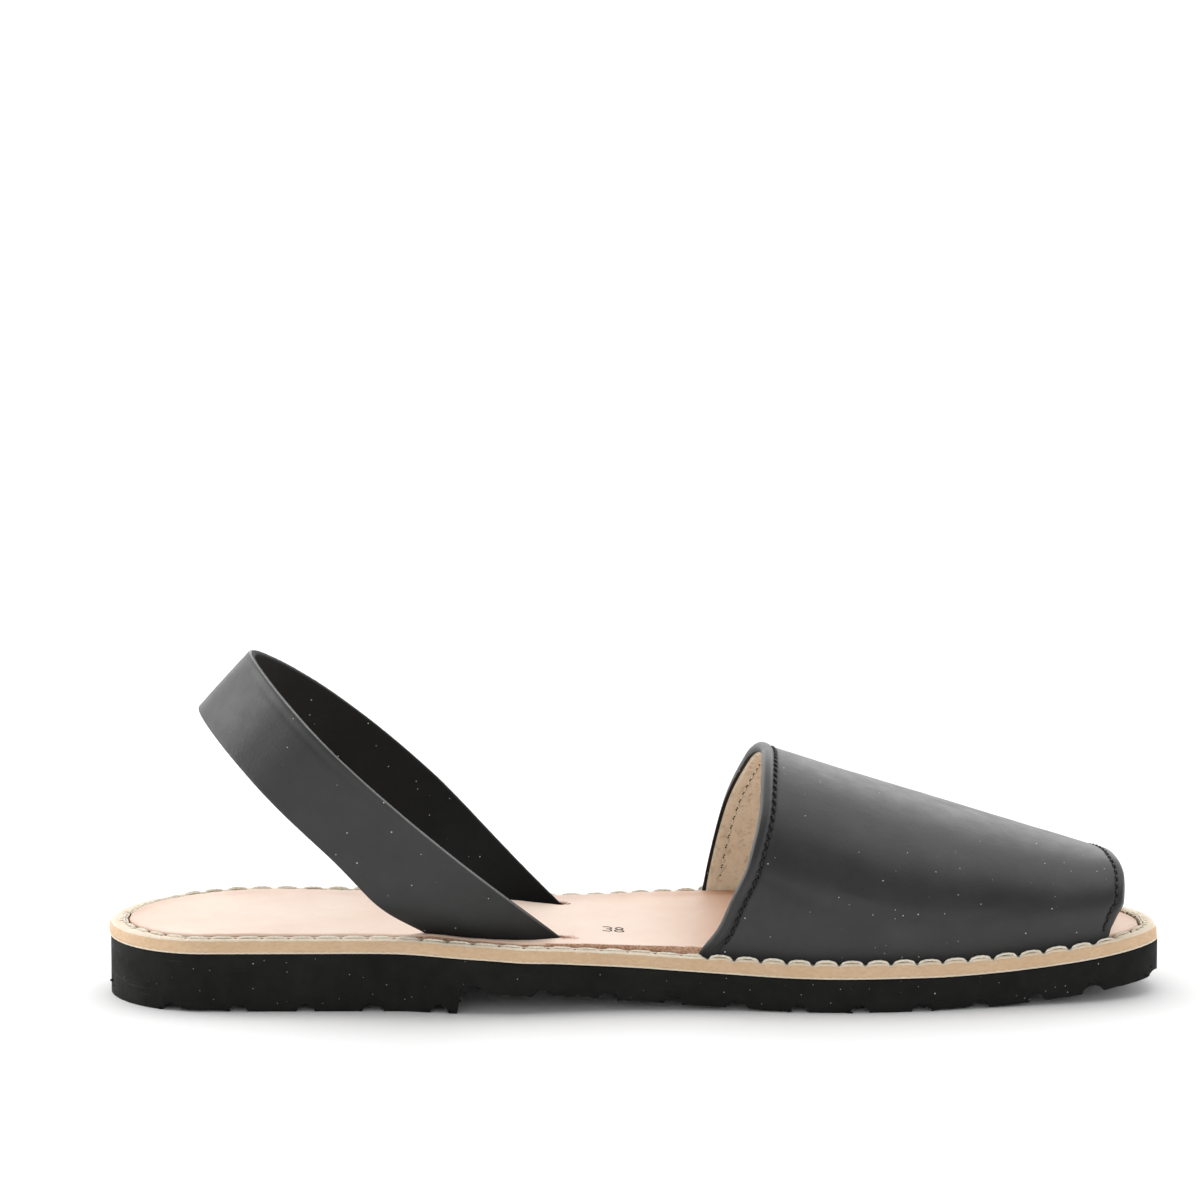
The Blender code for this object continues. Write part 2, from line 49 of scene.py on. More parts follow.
sole = {
    "length": 0.2600,
    "heelWidth": 0.0593,
    "ballWidth": 0.0860,
    "rubber": 0.0083,
    "heelLift": 0.0061,
    "heelBlock": 0.0872,
    "breast": 0.0009,
    "toeSpring": 0.0048,
    "tan": 0.0035,
    "insole": 0.0020,
    "insoleProud": 0.0004,
    "ring": 0.0046,
    "gap": 0.0003,
    "widthChange": (0.36, 0.66),
    "arch": (0.24, 0.69),
    "springStart": 0.786,
    "heelTurn": {"medial": 0.092, "lateral": 0.145, "fullness": 1.9, "tip": -0.085},
    "toeTurn": {"medial": 0.880, "lateral": 0.690, "fullness": 2.0, "tip": -0.058},
}

outlineRows = (  # share of the length, and each side as a share of the width there
    {"along": 0.00, "medial": 0.497, "lateral": 0.506},
    {"along": 0.18, "medial": 0.489, "lateral": 0.509},
    {"along": 0.27, "medial": 0.485, "lateral": 0.489},
    {"along": 0.345, "medial": 0.535, "lateral": 0.490},
    {"along": 0.385, "medial": 0.540, "lateral": 0.499},
    {"along": 0.43, "medial": 0.478, "lateral": 0.514},
    {"along": 0.52, "medial": 0.373, "lateral": 0.603},
    {"along": 0.60, "medial": 0.342, "lateral": 0.636},
    {"along": 0.70, "medial": 0.356, "lateral": 0.646},
    {"along": 0.77, "medial": 0.338, "lateral": 0.646},
    {"along": 0.85, "medial": 0.284, "lateral": 0.646},
    {"along": 0.91, "medial": 0.246, "lateral": 0.646},
    {"along": 1.00, "medial": 0.230, "lateral": 0.646},
)


def clampShare(value):
    return np.clip(value, 0.0, 1.0)


def smoothStep(start, end, value):
    share = clampShare((np.asarray(value, float) - start) / (end - start))
    return share * share * (3.0 - 2.0 * share)


def mix(first, second, share):
    return first + (second - first) * share


def bump(value, middle, width):  # soft bell, 1 at its middle
    return np.exp(-(((np.asarray(value, float) - middle) / width) ** 2))


def readCurve(rows, key, column, value, warp=None):  # smooth curve that doesn't overshoot
    knots = np.array([row[key] for row in rows], float)
    heights = np.array([row[column] for row in rows], float)
    place = np.clip(np.asarray(value, float), knots[0], knots[-1])
    if warp is not None:
        knots, place = warp(knots), warp(place)
    slopes = np.diff(heights) / np.diff(knots)
    tangents = np.concatenate([slopes[:1], np.zeros(len(knots) - 2), slopes[-1:]])
    for i in range(1, len(knots) - 1):
        before, after = slopes[i - 1], slopes[i]
        if before * after > 0.0:
            tangents[i] = 2.0 * before * after / (before + after)
    at = np.clip(np.searchsorted(knots, place, side="left") - 1, 0, len(knots) - 2)
    span = knots[at + 1] - knots[at]
    t = (place - knots[at]) / span
    return (
        (1.0 + 2.0 * t) * (1.0 - t) ** 2 * heights[at]
        + t * (1.0 - t) ** 2 * span * tangents[at]
        + t * t * (3.0 - 2.0 * t) * heights[at + 1]
        + t * t * (t - 1.0) * span * tangents[at + 1]
    )


def wobble(points, size, seed):  # smooth seeded noise from -1 to 1, size in metres
    rng = np.random.default_rng(seed)
    total = np.zeros(points.shape[:-1])
    for _ in range(9):
        way = rng.normal(size=3)
        way /= np.linalg.norm(way)
        pitch = size * rng.uniform(0.6, 1.6)
        total += np.sin(points @ way / pitch * 2.0 * math.pi + rng.uniform(0.0, 6.3))
    return total / 4.5


# sole outline and side view


def sideAt(side, along):
    along = np.asarray(along, float)
    width = mix(sole["heelWidth"], sole["ballWidth"], smoothStep(*sole["widthChange"], along))
    sign = -1.0 if side == "medial" else 1.0
    full = sign * width * readCurve(outlineRows, "along", side, along)
    heel, toe = sole["heelTurn"], sole["toeTurn"]
    heelDepth = clampShare(1.0 - along / heel[side])
    toeDepth = clampShare((along - toe[side]) / (1.0 - toe[side]))
    heelKeep = (1.0 - heelDepth ** heel["fullness"]) ** (1.0 / heel["fullness"])
    toeKeep = (1.0 - toeDepth ** toe["fullness"]) ** (1.0 / toe["fullness"])
    turned = mix(heel["tip"] * sole["heelWidth"], full, heelKeep)
    return mix(toe["tip"] * sole["ballWidth"], turned, toeKeep)


def lift(x):
    along = np.asarray(x, float) / sole["length"]
    arch = sole["heelLift"] * (1.0 - smoothStep(*sole["arch"], along))
    rise = clampShare((along - sole["springStart"]) / (1.0 - sole["springStart"]))
    return arch + sole["toeSpring"] * rise ** 2


def outsoleTop(x):
    return lift(x) + sole["rubber"]


def tanBottom(x):
    return outsoleTop(x) + sole["gap"]


def ringTop(x):
    return tanBottom(x) + sole["tan"]


def insoleTop(x):
    return ringTop(x) + sole["insoleProud"]


def recessFloor(x):
    return insoleTop(x) - sole["insole"] - sole["gap"]


def footLine(side, x, inset):  # y at x of a line that runs inside one side of the sole
    along = np.asarray(x, float) / sole["length"]
    step = 0.004
    rise = (sideAt(side, along + step) - sideAt(side, along - step)) / (2.0 * step * sole["length"])
    inward = 1.0 if side == "medial" else -1.0
    return sideAt(side, along) + inward * inset * np.hypot(1.0, rise)


def makeOutline(count):  # evenly spaced points round the sole, with inward directions
    ends = (1.0 - np.cos(np.linspace(0.0, math.pi, 1600))) / 2.0
    medial = np.stack([sole["length"] * ends, sideAt("medial", ends)], 1)
    lateral = np.stack([sole["length"] * ends, sideAt("lateral", ends)], 1)
    loop = np.concatenate([medial, lateral[1:-1][::-1], medial[:1]])
    run = np.concatenate([[0.0], np.cumsum(np.linalg.norm(np.diff(loop, axis=0), axis=1))])
    places = np.linspace(0.0, run[-1], count, endpoint=False)
    points = np.stack([np.interp(places, run, loop[:, i]) for i in (0, 1)], 1)
    ahead = np.roll(points, -2, 0) - np.roll(points, 2, 0)
    for _ in range(6):
        ahead = (np.roll(ahead, 1, 0) + 2.0 * ahead + np.roll(ahead, -1, 0)) / 4.0
    ahead /= np.linalg.norm(ahead, axis=1)[:, None]
    inward = np.stack([-ahead[:, 1], ahead[:, 0]], 1)
    return places, run[-1], points, inward


outlineCount = 1472  # sixteen steps for each stitch of the seam
runs, outlineLength, rim, inward = makeOutline(outlineCount)
origin = np.array([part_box("outsole")[0].x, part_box("outsole")[0].y - rim[:, 1].min(), 0.0])
print("outline length", round(outlineLength, 4), "origin", origin.round(5))


# mesh helpers


def gridFaces(rows, columns, closeRows=False, closeColumns=False, start=0):
    r = np.arange(rows if closeRows else rows - 1)
    c = np.arange(columns if closeColumns else columns - 1)
    a, b = np.meshgrid(r, c, indexing="ij")
    a2, b2 = (a + 1) % rows, (b + 1) % columns
    faces = np.stack([a * columns + b, a * columns + b2, a2 * columns + b2, a2 * columns + b], -1)
    return (faces.reshape(-1, 4) + start).tolist()


def addPiece(name, points, faces, materials, faceMaterials=None, smoothAngle=40.0, shown=True, shade=None):
    mesh = bpy.data.meshes.new(name)
    placed = np.asarray(points, float).reshape(-1, 3) + origin
    mesh.from_pydata(placed.tolist(), [], faces)
    if shade is not None:  # painted shade for each point, read by the materials
        marks = mesh.attributes.new("paintedShadeAndBurnish", "FLOAT", "POINT")
        marks.data.foreach_set("value", np.clip(np.asarray(shade, np.float32).reshape(-1), 0.0, 1.0))
    for material in materials:
        mesh.materials.append(material)
    if faceMaterials is not None:
        mesh.polygons.foreach_set("material_index", np.asarray(faceMaterials, np.int32))
    builder = bmesh.new()
    builder.from_mesh(mesh)
    bmesh.ops.remove_doubles(builder, verts=builder.verts, dist=0.000001)
    bmesh.ops.recalc_face_normals(builder, faces=builder.faces)
    bmesh.ops.triangulate(builder, faces=[f for f in builder.faces if len(f.verts) > 4])
    builder.to_mesh(mesh)
    builder.free()
    mesh.shade_smooth()
    if smoothAngle < 180.0:
        mesh.set_sharp_from_angle(angle=math.radians(smoothAngle))
    piece = bpy.data.objects.new(name, mesh)
    bpy.context.scene.collection.objects.link(piece)
    if shown:
        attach(piece, "root")
    return piece


def surfaceNormals(grid):  # unit normals of a grid of points
    along = np.gradient(grid, axis=0)
    across = np.gradient(grid, axis=1)
    normal = np.cross(along, across)
    return normal / np.maximum(np.linalg.norm(normal, axis=-1, keepdims=True), 1e-12)


def tubeMesh(path, radius, sides, closeEnds=True):  # points and faces of a tube along a path
    path = np.asarray(path, float)
    ahead = np.gradient(path, axis=0)
    ahead /= np.linalg.norm(ahead, axis=1)[:, None]
    up = np.array([0.0, 0.0, 1.0])
    across = np.cross(ahead, up)
    weak = np.linalg.norm(across, axis=1) < 1e-3
    across[weak] = np.array([1.0, 0.0, 0.0])
    across /= np.linalg.norm(across, axis=1)[:, None]
    over = np.cross(across, ahead)
    angles = np.arange(sides) / sides * 2.0 * math.pi
    radius = np.broadcast_to(np.asarray(radius, float), (len(path),))
    ring = np.cos(angles)[None, :, None] * across[:, None] + np.sin(angles)[None, :, None] * over[:, None]
    points = path[:, None] + ring * radius[:, None, None]
    faces = gridFaces(len(path), sides, closeColumns=True)
    if closeEnds:
        faces.append(list(range(sides)))
        faces.append([(len(path) - 1) * sides + i for i in range(sides)])
    return points.reshape(-1, 3), faces


def joinParts(parts):  # several (points, faces) as one
    points, faces, start = [], [], 0
    for partPoints, partFaces in parts:
        points.append(partPoints)
        faces += [[index + start for index in face] for face in partFaces]
        start += len(partPoints)
    return np.concatenate(points), faces


# materials


def startMaterial(name, roughness, specular=0.5):
    material = bpy.data.materials.new(name)
    material.use_nodes = True
    tree = material.node_tree
    shader = tree.nodes["Principled BSDF"]
    shader.inputs["Roughness"].default_value = roughness
    shader.inputs["Specular IOR Level"].default_value = specular
    place = tree.nodes.new("ShaderNodeTexCoord")
    return material, tree, shader, place.outputs["Object"]


def addMapping(tree, source, scale):
    mapping = tree.nodes.new("ShaderNodeMapping")
    mapping.inputs["Scale"].default_value = scale
    tree.links.new(source, mapping.inputs["Vector"])
    return mapping.outputs["Vector"]


def addNoise(tree, source, scale, detail=3.0, roughness=0.55):
    noise = tree.nodes.new("ShaderNodeTexNoise")
    noise.inputs["Scale"].default_value = scale
    noise.inputs["Detail"].default_value = detail
    noise.inputs["Roughness"].default_value = roughness
    tree.links.new(source, noise.inputs["Vector"])
    return noise.outputs["Fac"]


def addCells(tree, source, scale, feature="F1"):
    cells = tree.nodes.new("ShaderNodeTexVoronoi")
    cells.feature = feature
    cells.inputs["Scale"].default_value = scale
    tree.links.new(source, cells.inputs["Vector"])
    return cells


def addRamp(tree, source, stops):
    ramp = tree.nodes.new("ShaderNodeValToRGB")
    while len(ramp.color_ramp.elements) < len(stops):
        ramp.color_ramp.elements.new(0.5)
    for element, (place, value) in zip(ramp.color_ramp.elements, stops):
        element.position = place
        colour = value if isinstance(value, tuple) else (value, value, value)
        element.color = (*colour, 1.0)
    tree.links.new(source, ramp.inputs["Fac"])
    return ramp.outputs["Color"]


def addMix(tree, share, first, second, blend="MIX"):
    node = tree.nodes.new("ShaderNodeMix")
    node.data_type = "RGBA"
    node.blend_type = blend
    for value, index in ((share, 0), (first, 6), (second, 7)):
        socket = node.inputs[index]
        if isinstance(value, (int, float)):
            socket.default_value = value
        elif isinstance(value, tuple):
            socket.default_value = (*value, 1.0)
        else:
            tree.links.new(value, socket)
    return node.outputs[2]


def addMath(tree, operation, first, second=0.0):
    node = tree.nodes.new("ShaderNodeMath")
    node.operation = operation
    for value, socket in ((first, node.inputs[0]), (second, node.inputs[1])):
        if isinstance(value, (int, float)):
            socket.default_value = value
        else:
            tree.links.new(value, socket)
    return node.outputs[0]


def addBump(tree, shader, layers):  # layers: (height, strength, distance in metres)
    last = None
    for height, strength, distance in layers:
        node = tree.nodes.new("ShaderNodeBump")
        node.inputs["Strength"].default_value = strength
        node.inputs["Distance"].default_value = distance
        tree.links.new(height, node.inputs["Height"])
        if last is not None:
            tree.links.new(last, node.inputs["Normal"])
        last = node.outputs["Normal"]
    tree.links.new(last, shader.inputs["Normal"])


def addSpecks(tree, place, scale, size, keep, colour, speck):  # small specks of dust or pores
    cells = addCells(tree, place, scale)
    near = addMath(tree, "LESS_THAN", cells.outputs["Distance"], size)
    split = tree.nodes.new("ShaderNodeSeparateColor")
    tree.links.new(cells.outputs["Color"], split.inputs["Color"])
    some = addMath(tree, "LESS_THAN", split.outputs["Red"], keep)
    share = addMath(tree, "MULTIPLY", addMath(tree, "MULTIPLY", near, some), split.outputs["Green"])
    return addMix(tree, share, colour, speck)


def addShade(tree, colour, dark):  # paints shade into the colour where the mesh's attribute says so; on the insole the attribute also carries burnish
    shade = tree.nodes.new("ShaderNodeAttribute")
    shade.attribute_name = "paintedShadeAndBurnish"
    return addMix(tree, shade.outputs["Fac"], colour, dark)


blackLook = {
    "low": (0.0200, 0.0210, 0.0200),
    "high": (0.0300, 0.0312, 0.0300),
    # colour of the painted shade
    "paintedShade": (0.0012, 0.0012, 0.0008),
    "roughness": 0.40,
    "specular": 0.42,
    "grain": 1500.0,
    "dust": (0.62, 0.62, 0.60),
}


def blackLeather(name, dust, lighter=1.0, roughness=None, specular=None):
    look = blackLook
    specular = look["specular"] if specular is None else specular
    material, tree, shader, place = startMaterial(name, look["roughness"], specular)
    low = tuple(value * lighter for value in look["low"])
    high = tuple(value * lighter for value in look["high"])
    broad = addNoise(tree, place, 60.0, 4.0)
    colour = addRamp(tree, broad, ((0.35, low), (0.70, high)))
    # painted shade from the mesh attribute: darker colour here, rougher below
    colour = addShade(tree, colour, look["paintedShade"])
    if dust:
        colour = addSpecks(tree, place, 380.0, 0.060, 0.70, colour, look["dust"])
    tree.links.new(colour, shader.inputs["Base Color"])
    base = look["roughness"] if roughness is None else roughness
    rough = addRamp(tree, addNoise(tree, place, 220.0, 5.0), ((0.30, base - 0.04), (0.75, base + 0.06)))
    tree.links.new(addShade(tree, rough, (0.85, 0.85, 0.85)), shader.inputs["Roughness"])
    grain = addCells(tree, place, look["grain"], "SMOOTH_F1").outputs["Distance"]
    addBump(tree, shader, (
        (grain, 0.35, 0.00006),
        (addNoise(tree, place, 420.0, 4.0), 0.30, 0.00010),
        (addNoise(tree, place, 70.0, 2.0), 0.25, 0.00030),
    ))
    return material


def tanLeather(name, light, dark, streaks=True):
    material, tree, shader, place = startMaterial(name, 0.62, 0.30)
    long = addMapping(tree, place, (0.75, 0.75, 1.5)) if streaks else place
    fibre = addNoise(tree, long, 900.0, 5.0, 0.65)
    cloud = addNoise(tree, place, 110.0, 3.0)
    colour = addRamp(tree, fibre, ((0.25, dark), (0.70, light)))
    colour = addMix(tree, addRamp(tree, cloud, ((0.35, 0.0), (0.75, 0.45))), colour, dark)
    # painted shade from the mesh attribute, in pleats, stitch holes and along the inner edge
    colour = addShade(tree, colour, (0.085, 0.052, 0.030))
    colour = addSpecks(tree, place, 520.0, 0.10, 0.30, colour, (0.85, 0.74, 0.56))
    tree.links.new(colour, shader.inputs["Base Color"])
    addBump(tree, shader, (
        (addNoise(tree, place, 1400.0, 4.0), 0.55, 0.00012),
        (addNoise(tree, long, 260.0, 3.0), 0.40, 0.00020),
    ))
    return material


insoleLook = {
    "light": (0.850, 0.685, 0.575),
    "warm": (0.800, 0.600, 0.480),
    # colour of the painted shade, and of the burnish along the far edge
    "shadedAndBurnished": (0.52, 0.275, 0.165),
    "pore": (0.36, 0.20, 0.13),
}


def insoleLeather(name):
    look = insoleLook
    material, tree, shader, place = startMaterial(name, 0.55, 0.35)
    cloud = addNoise(tree, place, 45.0, 4.0)
    colour = addRamp(tree, cloud, ((0.35, look["light"]), (0.80, look["warm"])))
    # painted shade from the mesh attribute, with burnish along the far edge
    colour = addShade(tree, colour, look["shadedAndBurnished"])
    colour = addSpecks(tree, place, 300.0, 0.050, 0.55, colour, look["pore"])
    tree.links.new(colour, shader.inputs["Base Color"])
    tree.links.new(
        addRamp(tree, addNoise(tree, place, 300.0, 4.0), ((0.3, 0.48), (0.7, 0.62))),
        shader.inputs["Roughness"],
    )
    pebble = addCells(tree, place, 900.0, "SMOOTH_F1").outputs["Distance"]
    addBump(tree, shader, (
        (pebble, 0.35, 0.00010),
        (addNoise(tree, place, 160.0, 4.0), 0.35, 0.00025),
    ))
    return material


def liningLeather(name):
    material, tree, shader, place = startMaterial(name, 0.58, 0.30)
    cloud = addNoise(tree, place, 120.0, 5.0)
    colour = addRamp(tree, cloud, ((0.30, (0.84, 0.760, 0.600)), (0.72, (0.95, 0.880, 0.720))))
    bent = tree.nodes.new("ShaderNodeVectorMath")
    bent.operation = "ADD"
    tree.links.new(place, bent.inputs[0])
    shift = addMath(tree, "MULTIPLY", addNoise(tree, place, 700.0, 3.0), 0.0016)
    tree.links.new(shift, bent.inputs[1])
    cells = addCells(tree, bent.outputs["Vector"], 1050.0, "SMOOTH_F1").outputs["Distance"]
    folds = addNoise(tree, bent.outputs["Vector"], 520.0, 5.0, 0.65)
    # darker in the hollows of the fold bump: painted shade
    colour = addMix(tree, addRamp(tree, folds, ((0.34, 0.50), (0.46, 0.0))), colour, (0.50, 0.40, 0.27))
    tree.links.new(colour, shader.inputs["Base Color"])
    addBump(tree, shader, (
        (cells, 0.50, 0.00022),
        (folds, 0.60, 0.00040),
    ))
    return material


def rawFibre(name, light, dark):
    material, tree, shader, place = startMaterial(name, 0.85, 0.15)
    fibre = addNoise(tree, place, 1700.0, 6.0, 0.75)
    colour = addRamp(tree, fibre, ((0.36, dark), (0.62, light)))
    tree.links.new(colour, shader.inputs["Base Color"])
    addBump(tree, shader, ((fibre, 1.0, 0.00035),))
    return material


def waxedThread(name, light, dark, roughness):
    material, tree, shader, place = startMaterial(name, roughness, 0.35)
    strand = addNoise(tree, place, 2600.0, 3.0)
    colour = addRamp(tree, strand, ((0.30, dark), (0.62, light)))
    tree.links.new(colour, shader.inputs["Base Color"])
    addBump(tree, shader, ((strand, 0.6, 0.00008),))
    return material


rubberLook = {
    "low": (0.0060, 0.0062, 0.0056),
    "high": (0.0115, 0.0117, 0.0107),
    "scuff": (0.075, 0.075, 0.072),
    "dust": (0.50, 0.50, 0.48),
}


def soleRubber(name):
    look = rubberLook
    material, tree, shader, place = startMaterial(name, 0.72, 0.16)
    cloud = addNoise(tree, place, 90.0, 5.0, 0.65)
    colour = addRamp(tree, cloud, ((0.30, look["low"]), (0.75, look["high"])))
    long = addMapping(tree, place, (0.10, 0.10, 3.2))
    rub = addNoise(tree, long, 420.0, 4.0, 0.6)
    patch = addRamp(tree, addNoise(tree, place, 38.0, 2.0), ((0.52, 0.0), (0.68, 1.0)))
    share = addMath(tree, "MULTIPLY", addRamp(tree, rub, ((0.62, 0.0), (0.76, 0.60))), patch)
    colour = addMix(tree, share, colour, look["scuff"])
    colour = addSpecks(tree, place, 520.0, 0.062, 0.85, colour, look["dust"])
    colour = addSpecks(tree, place, 210.0, 0.038, 0.80, colour, look["dust"])
    tree.links.new(colour, shader.inputs["Base Color"])
    tree.links.new(
        addRamp(tree, addNoise(tree, place, 260.0, 4.0), ((0.3, 0.64), (0.7, 0.82))),
        shader.inputs["Roughness"],
    )
    addBump(tree, shader, (
        (addNoise(tree, place, 1300.0, 5.0, 0.7), 0.55, 0.00014),
        (addNoise(tree, long, 300.0, 3.0), 0.35, 0.00020),
    ))
    return material


def plainDark(name, colour, roughness):
    material, tree, shader, place = startMaterial(name, roughness, 0.2)
    grain = addNoise(tree, place, 1600.0, 3.0)
    paler = tuple(value * 1.6 for value in colour)
    tree.links.new(addRamp(tree, grain, ((0.35, colour), (0.70, paler))), shader.inputs["Base Color"])
    addBump(tree, shader, ((grain, 0.4, 0.00006),))
    return material


leatherBlack = blackLeather("leatherBlack", True)
# lighter copy of the black leather: painted highlight on the strap's outer top corner
leatherBlackEdgeHighlight = blackLeather("leatherBlackEdgeHighlight", False, 4.6, 0.34)
# darker copy of the black leather: painted shade on the strap's inner face
leatherBlackInsideShaded = blackLeather("leatherBlackInsideShaded", True, 0.22, 0.66, 0.20)
leatherTan = tanLeather("leatherTan", (0.717, 0.515, 0.336), (0.582, 0.392, 0.230))
leatherTanPale = tanLeather("leatherTanPale", (0.860, 0.770, 0.640), (0.700, 0.580, 0.430), False)
leatherInsole = insoleLeather("leatherInsole")
leatherLining = liningLeather("leatherLining")
leatherRaw = rawFibre("leatherRaw", (0.74, 0.47, 0.33), (0.30, 0.145, 0.085))
threadPale = waxedThread("threadPale", (0.86, 0.81, 0.70), (0.62, 0.54, 0.42), 0.60)
threadBlack = waxedThread("threadBlack", (0.020, 0.020, 0.020), (0.006, 0.006, 0.006), 0.45)
# pitDark and pitBrown colour plugs that paint the shade inside stitch holes; pitBrown also inks the size mark
pitDark = plainDark("pitDark", (0.004, 0.004, 0.004), 0.8)
pitBrown = plainDark("pitBrown", (0.035, 0.022, 0.014), 0.8)
rubberBlack = soleRubber("rubberBlack")
print("materials made")


# seam round the sole: where each stitch starts and ends

seam = {
    "stitches": 92,
    "inset": 0.00215,  # from the outline, where the seam lies in the open ring
    "insetAtEnds": 0.00365,
    "insetAtVamp": 0.00120,
    "vampSpan": (0.561, 0.567, 0.951, 0.904),  # throat and toe of the vamp, inner then outer side
    "threadRadius": 0.00026,
    "split": 0.00036,
    "rise": 0.00007,
    "riseAtVamp": 0.00030,
}
stitchPitch = outlineLength / seam["stitches"]
medialCount = int(np.argmax(rim[:, 0]))


def stitchPhase(run):  # 0 at a hole, 0.5 half way to the next one
    return (np.asarray(run, float) / stitchPitch) % 1.0


def holeNearness(run, width):
    phase = stitchPhase(run)
    return np.exp(-((np.minimum(phase, 1.0 - phase) * stitchPitch / width) ** 2))


def underVamp(x, y):  # 1 where the vamp's turned-out foot lies on the ring
    along = x / sole["length"]
    throatIn, throatOut, toeIn, toeOut = seam["vampSpan"]
    inner = smoothStep(throatIn - 0.006, throatIn + 0.004, along)
    inner = inner * (1.0 - smoothStep(toeIn - 0.004, toeIn + 0.006, along))
    outer = smoothStep(throatOut - 0.006, throatOut + 0.004, along)
    outer = outer * (1.0 - smoothStep(toeOut - 0.004, toeOut + 0.006, along))
    return np.where(y < 0.0, inner, outer)


def heelNearness(x):  # 1 at the heel's back, where the leather is gathered
    return 1.0 - smoothStep(0.004, 0.024, x)


def toeNearness(x):
    return smoothStep(sole["length"] - 0.026, sole["length"] - 0.006, x)


def seamInset(x, zone):
    ends = heelNearness(x) + toeNearness(x)
    return mix(mix(seam["inset"], seam["insetAtEnds"], ends), seam["insetAtVamp"], zone)


# tan leather wrapped over the midsole

wrap = {
    "setback": 0.0002,
    "bulge": 0.00022,
    "heelBulge": 0.0005,
    "round": 0.0012,
    "scallop": (0.00012, 0.00040),  # on the plain sides, beside the vamp
    "puff": (0.00004, 0.00030),
    "pleat": 0.00095,
    "pleatPitch": 0.0027,
    "wallRows": 11,
    "roundRows": 7,
    "ringRows": 22,
}


def buildWrap():
    heel, toe = heelNearness(rim[:, 0]), toeNearness(rim[:, 0])
    ends = heel + toe
    held, sharp = holeNearness(runs, 0.00085), holeNearness(runs, 0.00040)
    puffed = np.sin(math.pi * stitchPhase(runs)) ** 0.8
    vampZone = underVamp(rim[:, 0], rim[:, 1])
    dip = mix(wrap["scallop"][0], wrap["scallop"][1], vampZone) * held
    dip = (dip - mix(wrap["puff"][0], wrap["puff"][1], vampZone) * puffed) * (1.0 - ends)
    top, low = ringTop(rim[:, 0]), tanBottom(rim[:, 0])
    bulge = wrap["heelBulge"] * heel
    profile = []  # (inset, height) rows, from the wall's foot to the recess
    for row in range(wrap["wallRows"]):
        t = row / (wrap["wallRows"] - 1)
        swell = math.sin(math.pi * min(1.0, t * 1.05) ** 0.8)
        inset = wrap["setback"] - wrap["bulge"] * swell * (1.0 - toe) - bulge * t ** 0.5
        profile.append((inset, low + (top - wrap["round"] - low) * t))
    for row in range(1, wrap["roundRows"] + 1):
        angle = row / wrap["roundRows"] * math.pi / 2.0
        inset = wrap["setback"] + wrap["round"] * (1.0 - math.cos(angle)) - bulge * math.cos(angle)
        height = top - wrap["round"] * (1.0 - math.sin(angle)) - dip * math.sin(angle)
        profile.append((inset, height))
    first = wrap["setback"] + wrap["round"]
    last = sole["ring"] - sole["gap"]
    line = seamInset(rim[:, 0], vampZone)
    for row in range(1, wrap["ringRows"] + 1):
        inset = first + (last - first) * row / wrap["ringRows"]
        fade = 1.0 - smoothStep(0.0015, 0.0040, inset)
        channel = 0.00016 * bump(inset, line, 0.0007)
        hole = 0.0009 * sharp * bump(inset, line + 0.0004, 0.00050)
        sink = 0.00026 * smoothStep(0.0030, 0.0044, inset)
        profile.append((inset, top - dip * fade - channel - hole - sink))
    profile.append((last, recessFloor(rim[:, 0])))
    insets = np.array([inset + np.zeros(outlineCount) for inset, _ in profile])
    grid = np.zeros((len(profile), outlineCount, 3))
    grid[:, :, :2] = rim[None] + inward[None] * insets[..., None]
    grid[:, :, 2] = np.array([height for _, height in profile])
    # pleats fan out from the inner edge where the leather goes round the heel and the toe
    rng = np.random.default_rng(8)
    fold = np.zeros(outlineCount)
    reach = np.full(outlineCount, 0.0025)
    place = 0.0
    while place < outlineLength:
        length, sizeOf, width = rng.uniform(0.0017, 0.0032), rng.uniform(0.55, 1.0), rng.uniform(0.00022, 0.00036)
        away = np.abs((runs - place + outlineLength / 2.0) % outlineLength - outlineLength / 2.0)
        here = sizeOf * np.exp(-((away / width) ** 2))
        reach = np.where(here > fold, length, reach)
        fold = np.maximum(fold, here)
        place += wrap["pleatPitch"] * rng.uniform(0.75, 1.25)
    fromInner = last - insets
    inRange = (1.0 - smoothStep(0.55, 1.0, fromInner / reach[None])) * (insets > 0.0009)
    topRows = (np.arange(len(profile)) > wrap["wallRows"]) & (np.arange(len(profile)) < len(profile) - 1)
    taper = clampShare(1.0 - fromInner / reach[None]) ** 0.6
    crease = fold[None] * inRange * taper * topRows[:, None] * (ends + 0.10)[None]
    grid[:, :, 2] -= crease * wrap["pleat"]
    # painted shade in the pleats, in the stitch holes and along the inner edge beside the insole
    holes = np.array([sharp * bump(inset, line + 0.0004, 0.00050) for inset, _ in profile]) * topRows[:, None]
    inner = smoothStep(0.0036, 0.0043, insets) * topRows[:, None] * (0.25 + 0.30 * ends)[None]
    shade = np.maximum(np.maximum(crease ** 0.6 * 1.1, holes), inner)
    outward = np.concatenate([-inward, np.zeros((outlineCount, 1))], 1)
    grid += outward[None] * (wobble(grid, 0.009, 3) * 0.00006)[..., None]
    grid[:, :, 2] += wobble(grid, 0.0035, 4) * 0.00005 * topRows[:, None]
    faces = gridFaces(len(profile), outlineCount, closeColumns=True)
    faces.append(list(range(outlineCount)))
    faces.append([(len(profile) - 1) * outlineCount + i for i in range(outlineCount)])
    pale = []  # the turned-over leather is paler than the wall
    wallEnd = wrap["wallRows"] + 2
    for row in range(len(profile) - 1):
        pale += [1 if row >= wallEnd else 0] * outlineCount
    pale += [0, 0]
    looks = [leatherTan, leatherTanPale]
    piece = addPiece("tanWrap", grid, faces, looks, pale, 60.0, shade=shade)
    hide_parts("midsole")


